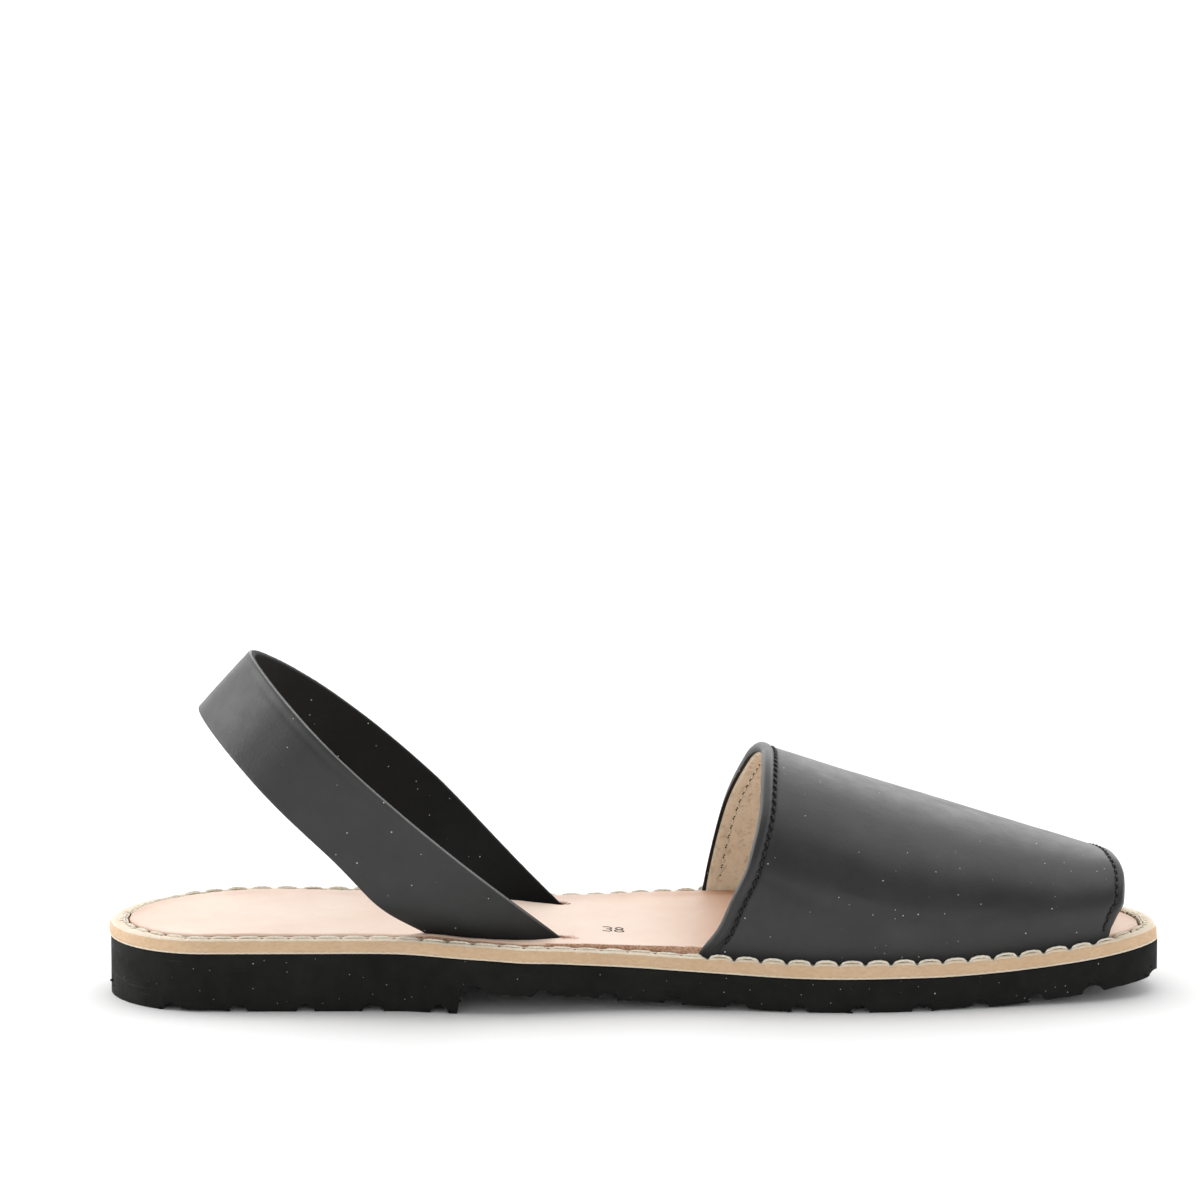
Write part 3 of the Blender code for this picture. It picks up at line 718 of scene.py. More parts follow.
def buildWrapEdge():  # pale cut edge along the foot of the tan wall
    low = tanBottom(rim[:, 0])
    heel = heelNearness(rim[:, 0])
    ragged = 0.00006 * np.sin(runs * 2900.0) + 0.00005 * np.sin(runs * 5200.0 + 2.0)
    rows = ((0.00050, -0.00004), (0.00002, -0.00010), (-0.00006, 0.00012), (0.00002, 0.00034), (0.00050, 0.00036))
    grid = np.zeros((len(rows), outlineCount, 3))
    for row, (inset, height) in enumerate(rows):
        grid[row, :, :2] = rim + inward * (inset - wrap["heelBulge"] * 0.25 * heel + ragged * 0.5)[:, None]
        grid[row, :, 2] = low + height + ragged * (row > 1)
    faces = gridFaces(len(rows), outlineCount, closeRows=True, closeColumns=True)
    addPiece("wrapEdge", grid, faces, [leatherTanPale], None, 180.0)


buildWrap()
buildWrapEdge()
print("tan wrap made")


# pale thread of the seam


def seamPath(start, end, count, side):  # one of the two strands of a stitch
    run = np.linspace(start, end, count)
    place = run % outlineLength
    x, y = (np.interp(place, runs, rim[:, i], period=outlineLength) for i in (0, 1))
    nx, ny = (np.interp(place, runs, inward[:, i], period=outlineLength) for i in (0, 1))
    share = (run - start) / (end - start)
    arc = np.sin(math.pi * share)
    zone = float(underVamp(x[count // 2], y[count // 2]))
    ends = heelNearness(x) + toeNearness(x)
    apart = side * seam["split"] * arc ** 0.5 * mix(1.0, 0.30, zone)
    inset = seamInset(x, zone) - 0.00022 * arc * (1.0 - ends) + apart
    puff = mix(wrap["puff"][0], wrap["puff"][1], zone)
    rise = mix(seam["rise"], seam["riseAtVamp"], zone)
    height = ringTop(x) + puff * arc + rise * arc ** 0.55 - 0.00060 * (1.0 - arc) ** 3
    height = height + 0.00010 - side * 0.00006 - 0.00022 * ends
    return np.stack([x + nx * inset, y + ny * inset, height], 1), arc


def buildSeam():
    parts = []
    rng = np.random.default_rng(11)
    for stitch in range(seam["stitches"]):
        start = (stitch + 0.06 + rng.uniform(-0.02, 0.02)) * stitchPitch
        end = (stitch + 0.94 + rng.uniform(-0.02, 0.02)) * stitchPitch
        for side in (-1.0, 1.0):
            path, arc = seamPath(start, end, 19, side)
            path[:, 2] += rng.uniform(-0.00008, 0.00008) * arc
            path[:, 1] += rng.uniform(-0.00010, 0.00010) * arc
            twist = 1.0 + 0.14 * np.sin(np.linspace(0.0, 1.0, 19) * 2.0 * math.pi * 4.0 + side)
            radius = seam["threadRadius"] * (0.50 + 0.50 * np.minimum(1.0, arc * 2.6)) * twist
            parts.append(tubeMesh(path, radius, 7))
    points, faces = joinParts(parts)
    addPiece("seamThread", points, faces, [threadPale], None, 180.0)
    # dark plugs in the stitch holes: painted shade inside the holes
    pits = []
    for stitch in range(seam["stitches"]):
        run = stitch * stitchPitch
        x, y = np.interp(run, runs, rim[:, 0]), np.interp(run, runs, rim[:, 1])
        nx, ny = np.interp(run, runs, inward[:, 0]), np.interp(run, runs, inward[:, 1])
        zone = float(underVamp(x, y))
        inset = float(seamInset(x, zone)) + 0.0002
        top = ringTop(x) - mix(wrap["scallop"][0], wrap["scallop"][1], zone) - 0.00034
        centre = np.array([x + nx * inset, y + ny * inset, top])
        path = centre + np.outer(np.linspace(-1.0, 0.22, 5), np.array([-nx * 0.0001, -ny * 0.0001, 0.0009]))
        pits.append(tubeMesh(path, 0.00036, 8))
    points, faces = joinParts(pits)
    addPiece("seamPits", points, faces, [pitBrown], None, 180.0)


buildSeam()
print("seam made")


# rubber outsole

tread = {
    "pitch": 0.0165,
    "pitchLoss": 0.00028,
    "width": 0.0046,
    "depth": 0.0018,
    "heelStart": 0.0160,
    "frontStart": 0.0908,
    "step": 0.00075,
    "across": 46,
}


def grooveCentres():
    centres = []
    x = tread["heelStart"]
    while x < sole["heelBlock"] - tread["width"]:
        centres.append(x)
        x += tread["pitch"]
    x, pitch = tread["frontStart"], tread["pitch"]
    while x < sole["length"] - tread["width"] / 2.0 and pitch > tread["width"]:
        centres.append(x)
        x += pitch
        pitch -= tread["pitchLoss"]
    return centres[:-1]


wornBlocks = ((0.0172, 0.0294), (0.1082, 0.1192), (0.2047, 0.2134))  # cut a little short in the mould


def grooveDepth(x):
    depth = np.zeros_like(x)
    for index, centre in enumerate(grooveCentres()):
        front = tread["width"] * (0.50 if index % 3 else 0.62)
        back = tread["width"] * (0.56 if index % 2 else 0.48)
        place = np.where(x > centre, (x - centre) / front, (centre - x) / back)
        shape = np.clip(1.0 - place ** 2.2, 0.0, 1.0) ** 0.8
        depth = np.maximum(depth, tread["depth"] * shape)
    tip = np.abs(x - 0.2590) / 0.0014
    depth = np.maximum(depth, 0.0011 * np.clip(1.0 - tip ** 2, 0.0, 1.0))
    for start, end in wornBlocks:
        worn = smoothStep(start - 0.0010, start + 0.0006, x) * (1.0 - smoothStep(end - 0.0006, end + 0.0010, x))
        depth = np.maximum(depth, 0.00040 * worn)
    return depth


def underside(x):
    breast = smoothStep(sole["heelBlock"] - sole["breast"], sole["heelBlock"], x)
    return lift(x) * breast + grooveDepth(x)


def soleStations():
    even = np.arange(0.006, sole["length"] - 0.006, tread["step"])
    ends = np.linspace(0.0, 1.0, 22) ** 2 * 0.006
    corners = []
    for centre in grooveCentres():
        corners += [centre + side * tread["width"] * share for side in (-1, 1) for share in (0.62, 0.56, 0.50, 0.47, 0.42)]
    corners += [sole["heelBlock"] - sole["breast"] * share for share in (1.0, 0.75, 0.5, 0.25, 0.0)]
    stations = np.concatenate([even, ends, sole["length"] - ends, corners])
    stations = np.unique(stations[(stations >= 0.0) & (stations <= sole["length"])].round(7))
    keep = np.concatenate([[True], np.diff(stations) > 0.00002])
    return stations[keep]


def buildOutsole():
    x = soleStations()
    along = x / sole["length"]
    medial, lateral = sideAt("medial", along), sideAt("lateral", along)
    count = len(x)
    bevel = 0.00035
    halves = (lateral - medial) / 2.0
    middle = (lateral + medial) / 2.0
    edge = np.minimum(bevel, halves * 0.5)
    share = np.linspace(-1.0, 1.0, tread["across"])
    bottom = np.zeros((count, tread["across"], 3))
    bottom[:, :, 0] = x[:, None]
    bottom[:, :, 1] = middle[:, None] + (halves - edge)[:, None] * share[None]
    bottom[:, :, 2] = underside(x)[:, None]
    resting = (underside(x) < 0.00002)[:, None]
    rough = np.abs(wobble(bottom, 0.006, 21)) * 0.00010
    bottom[:, :, 2] += np.where(resting, 0.0, rough)
    # side walls: worn lower edge, faint hollow, crisp top
    levels = (0.0, 0.06, 0.14, 0.28, 0.45, 0.62, 0.78, 0.92, 0.975, 1.0)
    wornIn = (0.45, 0.12, 0.02, 0.10, 0.22, 0.26, 0.16, 0.02, 0.10, 0.60)
    low, high = underside(x), outsoleTop(x)
    walls = []
    for side, sign in (("medial", -1.0), ("lateral", 1.0)):
        line = sideAt(side, along)
        wall = np.zeros((len(levels), count, 3))
        for row, (level, worn) in enumerate(zip(levels, wornIn)):
            start = low + 0.00018
            wall[row, :, 0] = x
            wall[row, :, 1] = line - sign * worn * np.minimum(bevel, halves * 0.5)
            wall[row, :, 2] = start + (high - start) * level
        nick = np.abs(wobble(wall, 0.0022, 31)) * 0.00022 + np.abs(wobble(wall, 0.0009, 32)) * 0.00012
        fade = (1.0 - smoothStep(0.0, 0.30, np.array(levels)))[:, None]
        wall[:, :, 1] -= sign * nick * fade
        wall[:, :, 1] -= sign * (wobble(wall, 0.012, 33) * 0.5 + 0.5) * 0.00008
        wall[0, :, 2] += np.abs(wobble(wall[0], 0.0016, 34)) * 0.00016
        walls.append(wall)
    points = [bottom.reshape(-1, 3)]
    faces = gridFaces(count, tread["across"])
    start = count * tread["across"]
    tops = []
    for wall, column in zip(walls, (0, tread["across"] - 1)):
        faces += gridFaces(len(levels), count, start=start)
        rows = np.arange(count) * tread["across"] + column
        for i in range(count - 1):
            faces.append([int(rows[i]), int(rows[i + 1]), start + i + 1, start + i])
        tops.append(start + (len(levels) - 1) * count)
        points.append(wall.reshape(-1, 3))
        start += wall.shape[0] * count
    for i in range(count - 1):
        faces.append([tops[0] + i, tops[0] + i + 1, tops[1] + i + 1, tops[1] + i])
    for end in (0, count - 1):  # close both tips
        ring = [end * tread["across"] + c for c in range(tread["across"])]
        base = count * tread["across"]
        lateralColumn = [base + len(levels) * count + row * count + end for row in range(len(levels))]
        medialColumn = [base + row * count + end for row in range(len(levels))]
        faces.append(ring + lateralColumn + medialColumn[::-1])
    piece = addPiece("rubberSole", np.concatenate(points), faces, [rubberBlack], None, 38.0)
    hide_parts("outsole")


burrs = (  # ragged bits of rubber left at the notches: x, side, height above the underside, size
    (0.0007, "medial", 0.0036, 0.0008), (0.0010, "medial", 0.0024, 0.0006), (0.0130, "medial", 0.0004, 0.0007),
    (0.0187, "medial", 0.0006, 0.0006), (0.0300, "medial", 0.0002, 0.0006), (0.0352, "medial", 0.0003, 0.0006),
    (0.0464, "medial", 0.0004, 0.0007), (0.0516, "medial", 0.0003, 0.0005), (0.0628, "medial", 0.0004, 0.0007),
    (0.0790, "medial", 0.0005, 0.0008), (0.0845, "medial", 0.0004, 0.0007), (0.0868, "medial", 0.0002, 0.0007),
    (0.1045, "medial", 0.0003, 0.0006), (0.1262, "medial", 0.0002, 0.0006), (0.1365, "medial", 0.0002, 0.0006),
    (0.1528, "medial", 0.0002, 0.0006), (0.1680, "medial", 0.0002, 0.0008), (0.1735, "medial", 0.0004, 0.0006),
    (0.1830, "medial", 0.0001, 0.0009), (0.2025, "medial", 0.0002, 0.0007), (0.2128, "medial", 0.0002, 0.0006),
    (0.2270, "medial", 0.0004, 0.0009), (0.2295, "medial", 0.0008, 0.0006), (0.2425, "medial", 0.0005, 0.0009),
    (0.2448, "medial", 0.0009, 0.0007), (0.2570, "medial", 0.0007, 0.0009), (0.2583, "medial", 0.0016, 0.0007),
    (0.0350, "lateral", 0.0003, 0.0006), (0.0635, "lateral", 0.0003, 0.0007), (0.1080, "lateral", 0.0003, 0.0006),
    (0.1410, "lateral", 0.0003, 0.0007), (0.1720, "lateral", 0.0003, 0.0007), (0.2030, "lateral", 0.0003, 0.0006),
    (0.2310, "lateral", 0.0005, 0.0008), (0.2460, "lateral", 0.0006, 0.0007),
)


def buildBurrs():
    rng = np.random.default_rng(5)
    parts = []
    ball = bmesh.new()
    bmesh.ops.create_icosphere(ball, subdivisions=2, radius=1.0)
    ballPoints = np.array([v.co[:] for v in ball.verts])
    ballFaces = [[v.index for v in f.verts] for f in ball.faces]
    ball.free()
    for x, side, height, size in burrs:
        y = float(sideAt(side, x / sole["length"]))
        ground = float(underside(np.array([x]))[0])
        stretch = np.array([rng.uniform(0.8, 1.5), rng.uniform(0.5, 0.9), rng.uniform(0.4, 0.8)])
        lumps = 1.0 + 0.45 * wobble(ballPoints + rng.uniform(-9.0, 9.0, 3), 1.3, int(x * 1e5))
        shape = ballPoints * stretch * lumps[:, None] * size * 0.62
        centre = np.array([x, y + (0.0002 if side == "medial" else -0.0002), ground + height])
        placed = shape + centre
        placed[:, 2] = np.maximum(placed[:, 2], 0.00002)
        parts.append((placed, ballFaces))
    points, faces = joinParts(parts)
    addPiece("rubberBurrs", points, faces, [rubberBlack], None, 50.0)


buildOutsole()
buildBurrs()
print("outsole made")


# heel strap

strap = {
    "width": 0.0196,
    "thickness": 0.0019,
    "pitch": math.radians(41.7),
    "reach": 0.1029,
    "spread": 0.0400,
    "entryLength": 0.0190,
    "middle": 0.0010,
    "slitFront": 0.1116,
    "corner": 0.00055,
    "crowding": 0.3,
    "steps": 300,
}

strapLoop = (  # seen square to the tilted loop, from its back to the insole
    {"along": 0.000, "medial": 0.000, "lateral": 0.000},
    {"along": 0.015, "medial": 0.165, "lateral": 0.170},
    {"along": 0.050, "medial": 0.320, "lateral": 0.335},
    {"along": 0.140, "medial": 0.590, "lateral": 0.625},
    {"along": 0.230, "medial": 0.770, "lateral": 0.825},
    {"along": 0.320, "medial": 0.860, "lateral": 0.950},
    {"along": 0.410, "medial": 0.888, "lateral": 1.025},
    {"along": 0.500, "medial": 0.885, "lateral": 1.050},
    {"along": 0.580, "medial": 0.862, "lateral": 1.035},
    {"along": 0.665, "medial": 0.815, "lateral": 0.950},
    {"along": 0.745, "medial": 0.755, "lateral": 0.825},
    {"along": 0.830, "medial": 0.670, "lateral": 0.690},
    {"along": 0.910, "medial": 0.580, "lateral": 0.580},
    {"along": 1.000, "medial": 0.490, "lateral": 0.490},
    {"along": 1.150, "medial": 0.400, "lateral": 0.400},
)

strapEntry = (  # how the band bends to its slit, from its top edge down
    {"down": 0.00, "medial": 0.000, "lateral": 0.000},
    {"down": 0.25, "medial": 0.045, "lateral": -0.030},
    {"down": 0.50, "medial": 0.032, "lateral": -0.095},
    {"down": 0.75, "medial": -0.035, "lateral": -0.170},
    {"down": 1.00, "medial": -0.150, "lateral": -0.255},
)

strapForward = np.array([math.cos(strap["pitch"]), 0.0, -math.sin(strap["pitch"])])
strapUp = np.array([math.sin(strap["pitch"]), 0.0, math.cos(strap["pitch"])])
strapBack = np.array([strap["slitFront"], strap["middle"], float(insoleTop(strap["slitFront"]))])
strapBack = strapBack - strapForward * strap["reach"]


def strapEnd(down):
    x = np.full(np.shape(down), strap["slitFront"])
    length = x
    for _ in range(6):
        floor = recessFloor(x) + sole["gap"]
        length = (strapBack[2] - down * strapUp[2] - floor) / -strapForward[2]
        x = strapBack[0] + strapForward[0] * length - strapUp[0] * down
    return length


def strapSpread(turn, down):  # length along the loop and sideways place of the outer face
    end = strapEnd(down)
    length = end * turn * turn
    share = np.minimum(strapLoop[-1]["along"], length / strap["reach"])
    inSlit = sole["insole"] / math.sin(strap["pitch"])
    near = smoothStep(0.0, 1.0, 1.0 - (end - inSlit - length) / strap["entryLength"])
    halves = []
    for side in ("medial", "lateral"):
        loop = readCurve(strapLoop, "along", side, share, np.sqrt)
        entry = readCurve(strapEntry, "down", side, down / strap["width"])
        halves.append(strap["spread"] * (loop + entry * near))
    return length, np.where(turn < 0.0, -halves[0], halves[1])


def strapGrid(turns, insides, downs, runsOn=False):
    turn, down = np.broadcast_arrays(turns[:, None], downs[None])
    inside = np.broadcast_to(insides, turn.shape)
    step = 0.004
    lengthA, sideA = strapSpread(turn + step, down)
    lengthB, sideB = strapSpread(turn - step, down)
    ahead = np.hypot(lengthA - lengthB, sideA - sideB)
    alongTangent, sideTangent = (lengthA - lengthB) / ahead, (sideA - sideB) / ahead
    length, across = strapSpread(turn, down)
    length = length + sideTangent * inside
    across = across - alongTangent * inside
    points = strapBack + strapForward * length[..., None] - strapUp * down[..., None]
    points[..., 1] += across
    below = np.maximum(0.0, recessFloor(points[..., 0]) + sole["gap"] - points[..., 2])
    points = points - strapForward * (below / -strapForward[2])[..., None]
    if runsOn:
        points = np.concatenate([points, points[-1:] * 2.0 - points[-2:-1]])
    return points


def strapTurns(count):
    shares = np.linspace(-1.0, 1.0, count + 1)
    return shares * (1.0 + strap["crowding"] * (1.0 - shares * shares))


def bandProfile(margin, faceRows, cornerRows):  # rounded cross-section: depth inside, distance down
    corner = strap["corner"] + margin
    low, high = -margin, strap["thickness"] + margin
    top, bottom = -margin, strap["width"] + margin
    rows = []
    for centreIn, centreDown, start in (
        (high - corner, top + corner, 0.0),
        (low + corner, top + corner, 90.0),
        (low + corner, bottom - corner, 180.0),
        (high - corner, bottom - corner, 270.0),
    ):
        for step in range(cornerRows + 1):
            angle = math.radians(start + 90.0 * step / cornerRows)
            rows.append((centreIn + corner * math.cos(angle), centreDown - corner * math.sin(angle), 1))
        if start in (90.0, 270.0):
            first = top + corner if start == 90.0 else bottom - corner
            final = bottom - corner if start == 90.0 else top + corner
            face = 0 if start == 90.0 else 2
            depth = low if start == 90.0 else high
            for step in range(1, faceRows):
                rows.append((depth, mix(first, final, step / faceRows), face))
    return rows


def strapSag(points):  # the near half hangs a little lower before it goes into the insole
    reach = (points - strapBack) @ strapForward
    down = -(points - strapBack) @ strapUp
    near = 1.0 - smoothStep(-0.010, 0.0, points[..., 1] - strap["middle"])
    share = clampShare(down / strap["width"]) ** 3
    return points - strapUp * (0.0019 * bump(reach, 0.0650, 0.0135) * share * near)[..., None]


def buildStrap():
    turns = strapTurns(strap["steps"])
    rows = bandProfile(0.0, 30, 4)
    insides = np.array([row[0] for row in rows])
    downs = np.array([row[1] for row in rows])
    kinds = np.array([row[2] for row in rows])
    # the outer top corner takes the lighter copy of the leather: a painted highlight
    outerCorner = (insides < strap["corner"] * 0.99) & (downs < strap["corner"] * 0.55)
    kinds = np.where((kinds == 1) & ~outerCorner, 0, kinds)
    # the inner face takes the darker copy of the leather: painted shade
    kinds = np.where((kinds == 0) & (insides > strap["corner"] * 0.99), 2, kinds)
    turn = turns[:, None]
    # soft line pressed below the upper edge, a faint belly, and slow waves along the band
    line = 0.00013 * bump(downs, 0.0024, 0.0006)[None] * (0.35 + 0.65 * bump(turn, -0.52, 0.26))
    belly = 0.00010 * np.sin(math.pi * downs / strap["width"])[None]
    outerFace = (kinds != 2)[None]
    depth = insides[None] + (line - belly) * outerFace
    wave = np.stack(np.broadcast_arrays(turn * 0.12, downs[None], 0.0 * turn), -1)
    depth = depth + wobble(wave, 0.030, 41) * 0.00007
    ragged = 0.00006 * wobble(wave * np.array([1.0, 0.0, 0.0]), 0.0016, 42)
    downGrid = downs[None] + ragged * (kinds == 1)[None]
    points = strapGrid(turns, depth, downs)
    points -= strapUp * (downGrid - downs[None])[..., None]
    points = strapSag(points)
    # painted shade: the band darkens as it nears the insole and its slits
    above = points[..., 2] - insoleTop(points[..., 0])
    shade = np.exp(-(np.maximum(above, 0.0) / 0.0075) ** 1.4) * 0.97
    count = len(rows)
    faces = gridFaces(len(turns), count, closeColumns=True)
    faceKinds = []
    for _ in range(len(turns) - 1):
        faceKinds += [int(kinds[c]) if kinds[c] == kinds[(c + 1) % count] else 1 for c in range(count)]
    faces.append(list(range(count)))
    faces.append([(len(turns) - 1) * count + i for i in range(count)])
    faceKinds += [0, 0]
    pieces = [leatherBlack, leatherBlackEdgeHighlight, leatherBlackInsideShaded]
    piece = addPiece("strapBand", points, faces, pieces, faceKinds, 180.0, shade=shade)
    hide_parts("heel_strap")


buildStrap()
print("strap made")


# insole

insoleSizes = {
    "stations": 430,
    "across": 132,
    "edgeRound": 0.00035,
    "slitGap": 0.00045,
    "nearLift": 0.00105,
}


def insetSides(inset, x):  # y of both sides of the outline moved inwards, at x
    loop = rim + inward * inset
    half = int(np.argmax(loop[:, 0]))
    tail = int(np.argmin(loop[:, 0]))
    order = np.roll(np.arange(outlineCount), -tail)
    split = int(np.where(order == half)[0][0])
    medial = loop[order[: split + 1]]
    lateral = loop[np.concatenate([order[split:], order[:1]])][::-1]
    sides = []
    for line in (medial, lateral):
        rising = np.maximum.accumulate(line[:, 0] + np.arange(len(line)) * 1e-10)
        sides.append(np.interp(x, rising, line[:, 1]))
    return sides


def insoleReach(inset):
    loop = rim + inward * inset
    return float(loop[:, 0].min()), float(loop[:, 0].max())


def rawReach(x):  # width of the bare, sloping edge on the inner side
    return 0.00016 + 0.00270 * bump(x, 0.1490, 0.0105) + 0.00035 * bump(x, 0.1260, 0.0140)


def rawDrop(x, edgeIn):
    reach = rawReach(x)
    return (0.00025 + 0.00095 * bump(x, 0.1480, 0.0130)) * (1.0 - smoothStep(0.0, 1.0, edgeIn / reach))


def insoleHeight(x, y, edgeIn, edgeOut):  # swells and dips, metres above the plain sheet
    height = insoleSizes["nearLift"] * bump(x, 0.1475, 0.0150) * np.exp(-edgeIn / 0.0060)
    height += 0.00030 * bump(x, 0.122, 0.016) * np.exp(-edgeIn / 0.0030)
    height -= rawDrop(x, edgeIn)
    height += 0.00060 * bump(x, 0.0810, 0.0052) * np.exp(-edgeIn / 0.0022)  # lip beside the near slit
    height += 0.00035 * bump(x, 0.0980, 0.0120) * np.exp(-edgeIn / 0.0018)
    height += 0.00080 * bump(x, 0.1230, 0.0260) * np.exp(-edgeOut / 0.0032)  # far edge curls up
    height += 0.00025 * bump(x, 0.0400, 0.0300) * np.exp(-edgeOut / 0.0020)
    height -= 0.00035 * bump(x, 0.0330, 0.022) * bump(y, 0.0, 0.017)  # heel bed
    height -= 0.00030 * bump(x, 0.1950, 0.026) * bump(y, 0.010, 0.022)  # ball of the foot
    grid = np.stack([x, y, 0.0 * x], -1)
    height += wobble(grid, 0.022, 51) * 0.00012 + wobble(grid, 0.0065, 52) * 0.00004
    return height


def buildInsole():
    inset = sole["ring"]
    low, high = insoleReach(inset)
    share = (1.0 - np.cos(np.linspace(0.0, math.pi, insoleSizes["stations"]))) / 2.0
    share = 0.72 * np.linspace(0.0, 1.0, insoleSizes["stations"]) + 0.28 * share
    x = low + (high - low) * share
    medial, lateral = insetSides(inset, x)
    across = np.linspace(-1.0, 1.0, insoleSizes["across"])
    across = across * (1.0 + 0.10 * (1.0 - across * across))
    middle, half = (medial + lateral) / 2.0, np.maximum((lateral - medial) / 2.0, 0.00002)
    y = middle[:, None] + half[:, None] * across[None]
    gridX = np.broadcast_to(x[:, None], y.shape)
    fromTips = np.minimum(gridX - low, high - gridX)
    edgeIn = np.minimum(y - medial[:, None], fromTips * 2.0)
    edgeOut = np.minimum(lateral[:, None] - y, fromTips * 2.0)
    edge = np.minimum(edgeIn, edgeOut)
    z = insoleTop(gridX) + insoleHeight(gridX, y, edgeIn, edgeOut)
    z = z - insoleSizes["edgeRound"] * np.exp(-np.maximum(edge, 0.0) / 0.00035)
    points = np.stack([gridX, y, z], -1)
    rows, columns = y.shape
    faces = gridFaces(rows, columns)
    border = [c for c in range(columns)]
    border += [r * columns + columns - 1 for r in range(1, rows)]
    border += [(rows - 1) * columns + c for c in range(columns - 2, -1, -1)]
    border += [r * columns for r in range(rows - 2, 0, -1)]
    flat = points.reshape(-1, 3)
    levels = [flat]
    count = len(border)
    ring = border
    start = rows * columns
    ragged = rawReach(gridX) * (0.94 + 0.20 * wobble(points, 0.0030, 56))
    isRaw = (edgeIn < ragged) & (gridX > 0.108) & (gridX < 0.165)
    kinds = isRaw[:-1, :-1].astype(int).reshape(-1).tolist()
    for level in (0.35, 0.7, 1.0):
        loop = flat[border].copy()
        floor = recessFloor(loop[:, 0]) + sole["gap"]
        loop[:, 2] = mix(loop[:, 2], floor, level)
        levels.append(loop)
        new = [start + i for i in range(count)]
        for i in range(count):
            after = (i + 1) % count
            faces.append([ring[i], ring[after], new[after], new[i]])
            kinds.append(1)
        ring = new
        start += count
    faces.append(ring)
    kinds.append(1)
    piece = addPiece(
        "insoleSheet", np.concatenate(levels), faces, [leatherInsole, leatherRaw], kinds, 50.0
    )
    # slits, cut with the ends of the strap made a little larger
    rowsOfBand = bandProfile(insoleSizes["slitGap"], 6, 2)
    insides = np.array([row[0] for row in rowsOfBand])[None]
    downs = np.array([row[1] for row in rowsOfBand])
    for side in (-1.0, 1.0):
        turns = side * np.array([t for t in strapTurns(60) if t > 0.84])
        band = strapGrid(turns, insides, downs, True)
        bandFaces = gridFaces(band.shape[0], band.shape[1], closeColumns=True)
        bandFaces.append(list(range(band.shape[1])))
        bandFaces.append([(band.shape[0] - 1) * band.shape[1] + i for i in range(band.shape[1])])
        cutter = addPiece("slitCutter", band, bandFaces, [leatherRaw], None, 180.0, shown=False)
        cut = piece.modifiers.new("slit", "BOOLEAN")
        cut.operation, cut.solver, cut.object = "DIFFERENCE", "EXACT", cutter
        bpy.context.view_layer.update()
        made = bpy.data.meshes.new_from_object(piece.evaluated_get(bpy.context.evaluated_depsgraph_get()))
        piece.modifiers.clear()
        piece.data = made
        bpy.data.objects.remove(cutter, do_unlink=True)
    # painted shade: darker along the near edge, at the tips, at the near slit's end, along a line near the far edge
    # and most of all under the vamp; the broad band along the far edge is partly burnish from hands and partly
    # painted shade
    mesh = piece.data
    places = np.zeros(len(mesh.vertices) * 3)
    mesh.vertices.foreach_get("co", places)
    places = places.reshape(-1, 3) - origin
    medialLine, lateralLine = insetSides(inset, places[:, 0])
    outer = np.exp(-np.maximum(lateralLine - places[:, 1], 0.0) / 0.0065)
    inner = np.exp(-np.maximum(places[:, 1] - medialLine, 0.0) / 0.0012)
    tip = np.exp(-np.maximum(places[:, 0] - low, 0.0) / 0.005) + np.exp(-np.maximum(high - places[:, 0], 0.0) / 0.004)
    throat = smoothStep(0.128, 0.170, places[:, 0]) * (1.0 - smoothStep(0.222, 0.242, places[:, 0]))
    patch = 0.5 + 0.5 * wobble(places, 0.014, 61)
    farLine = np.exp(-((lateralLine - places[:, 1] - 0.0035) / 0.0022) ** 2)
    slitEnd = bump(places[:, 0], 0.1135, 0.0022) * bump(places[:, 1], -0.0180, 0.0016)
    paintedShadeAndBurnish = 0.26 * outer * (0.7 + 0.3 * patch) + 0.26 * farLine * patch + 0.34 * inner + 0.24 * tip
    paintedShadeAndBurnish = paintedShadeAndBurnish + 0.85 * throat + 0.8 * slitEnd
    attribute = mesh.attributes.new("paintedShadeAndBurnish", "FLOAT", "POINT")
    attribute.data.foreach_set("value", np.clip(paintedShadeAndBurnish, 0.0, 1.0).astype(np.float32))
    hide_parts("insole")


buildInsole()
print("insole made")


# vamp

vamp = {
    "wall": 0.0021,
    "leather": 0.00125,
    "reach": 0.0013,
    "foot": 0.0013,
    "instep": 0.0448,
    "bulge": 0.0018,
    "archSteps": 250,
    "lengthSteps": 150,
}

vampSections = (
    {"along": 0.540, "height": 1.110, "fullness": 2.20},
    {"along": 0.623, "height": 1.000, "fullness": 2.20},
    {"along": 0.740, "height": 0.790, "fullness": 2.20},
    {"along": 0.860, "height": 0.575, "fullness": 2.25},
    {"along": 0.958, "height": 0.382, "fullness": 2.35},
    {"along": 1.000, "height": 0.300, "fullness": 2.40},
)

vampEdges = (
    {"arch": 0.00, "throat": 0.561, "toe": 0.9510},
    {"arch": 0.04, "throat": 0.579, "toe": 0.9550},
    {"arch": 0.08, "throat": 0.589, "toe": 0.9590},
    {"arch": 0.16, "throat": 0.607, "toe": 0.9665},
    {"arch": 0.30, "throat": 0.620, "toe": 0.9680},
    {"arch": 0.50, "throat": 0.623, "toe": 0.9610},
    {"arch": 0.70, "throat": 0.607, "toe": 0.9430},
    {"arch": 0.85, "throat": 0.586, "toe": 0.9220},
    {"arch": 1.00, "throat": 0.567, "toe": 0.9040},
)


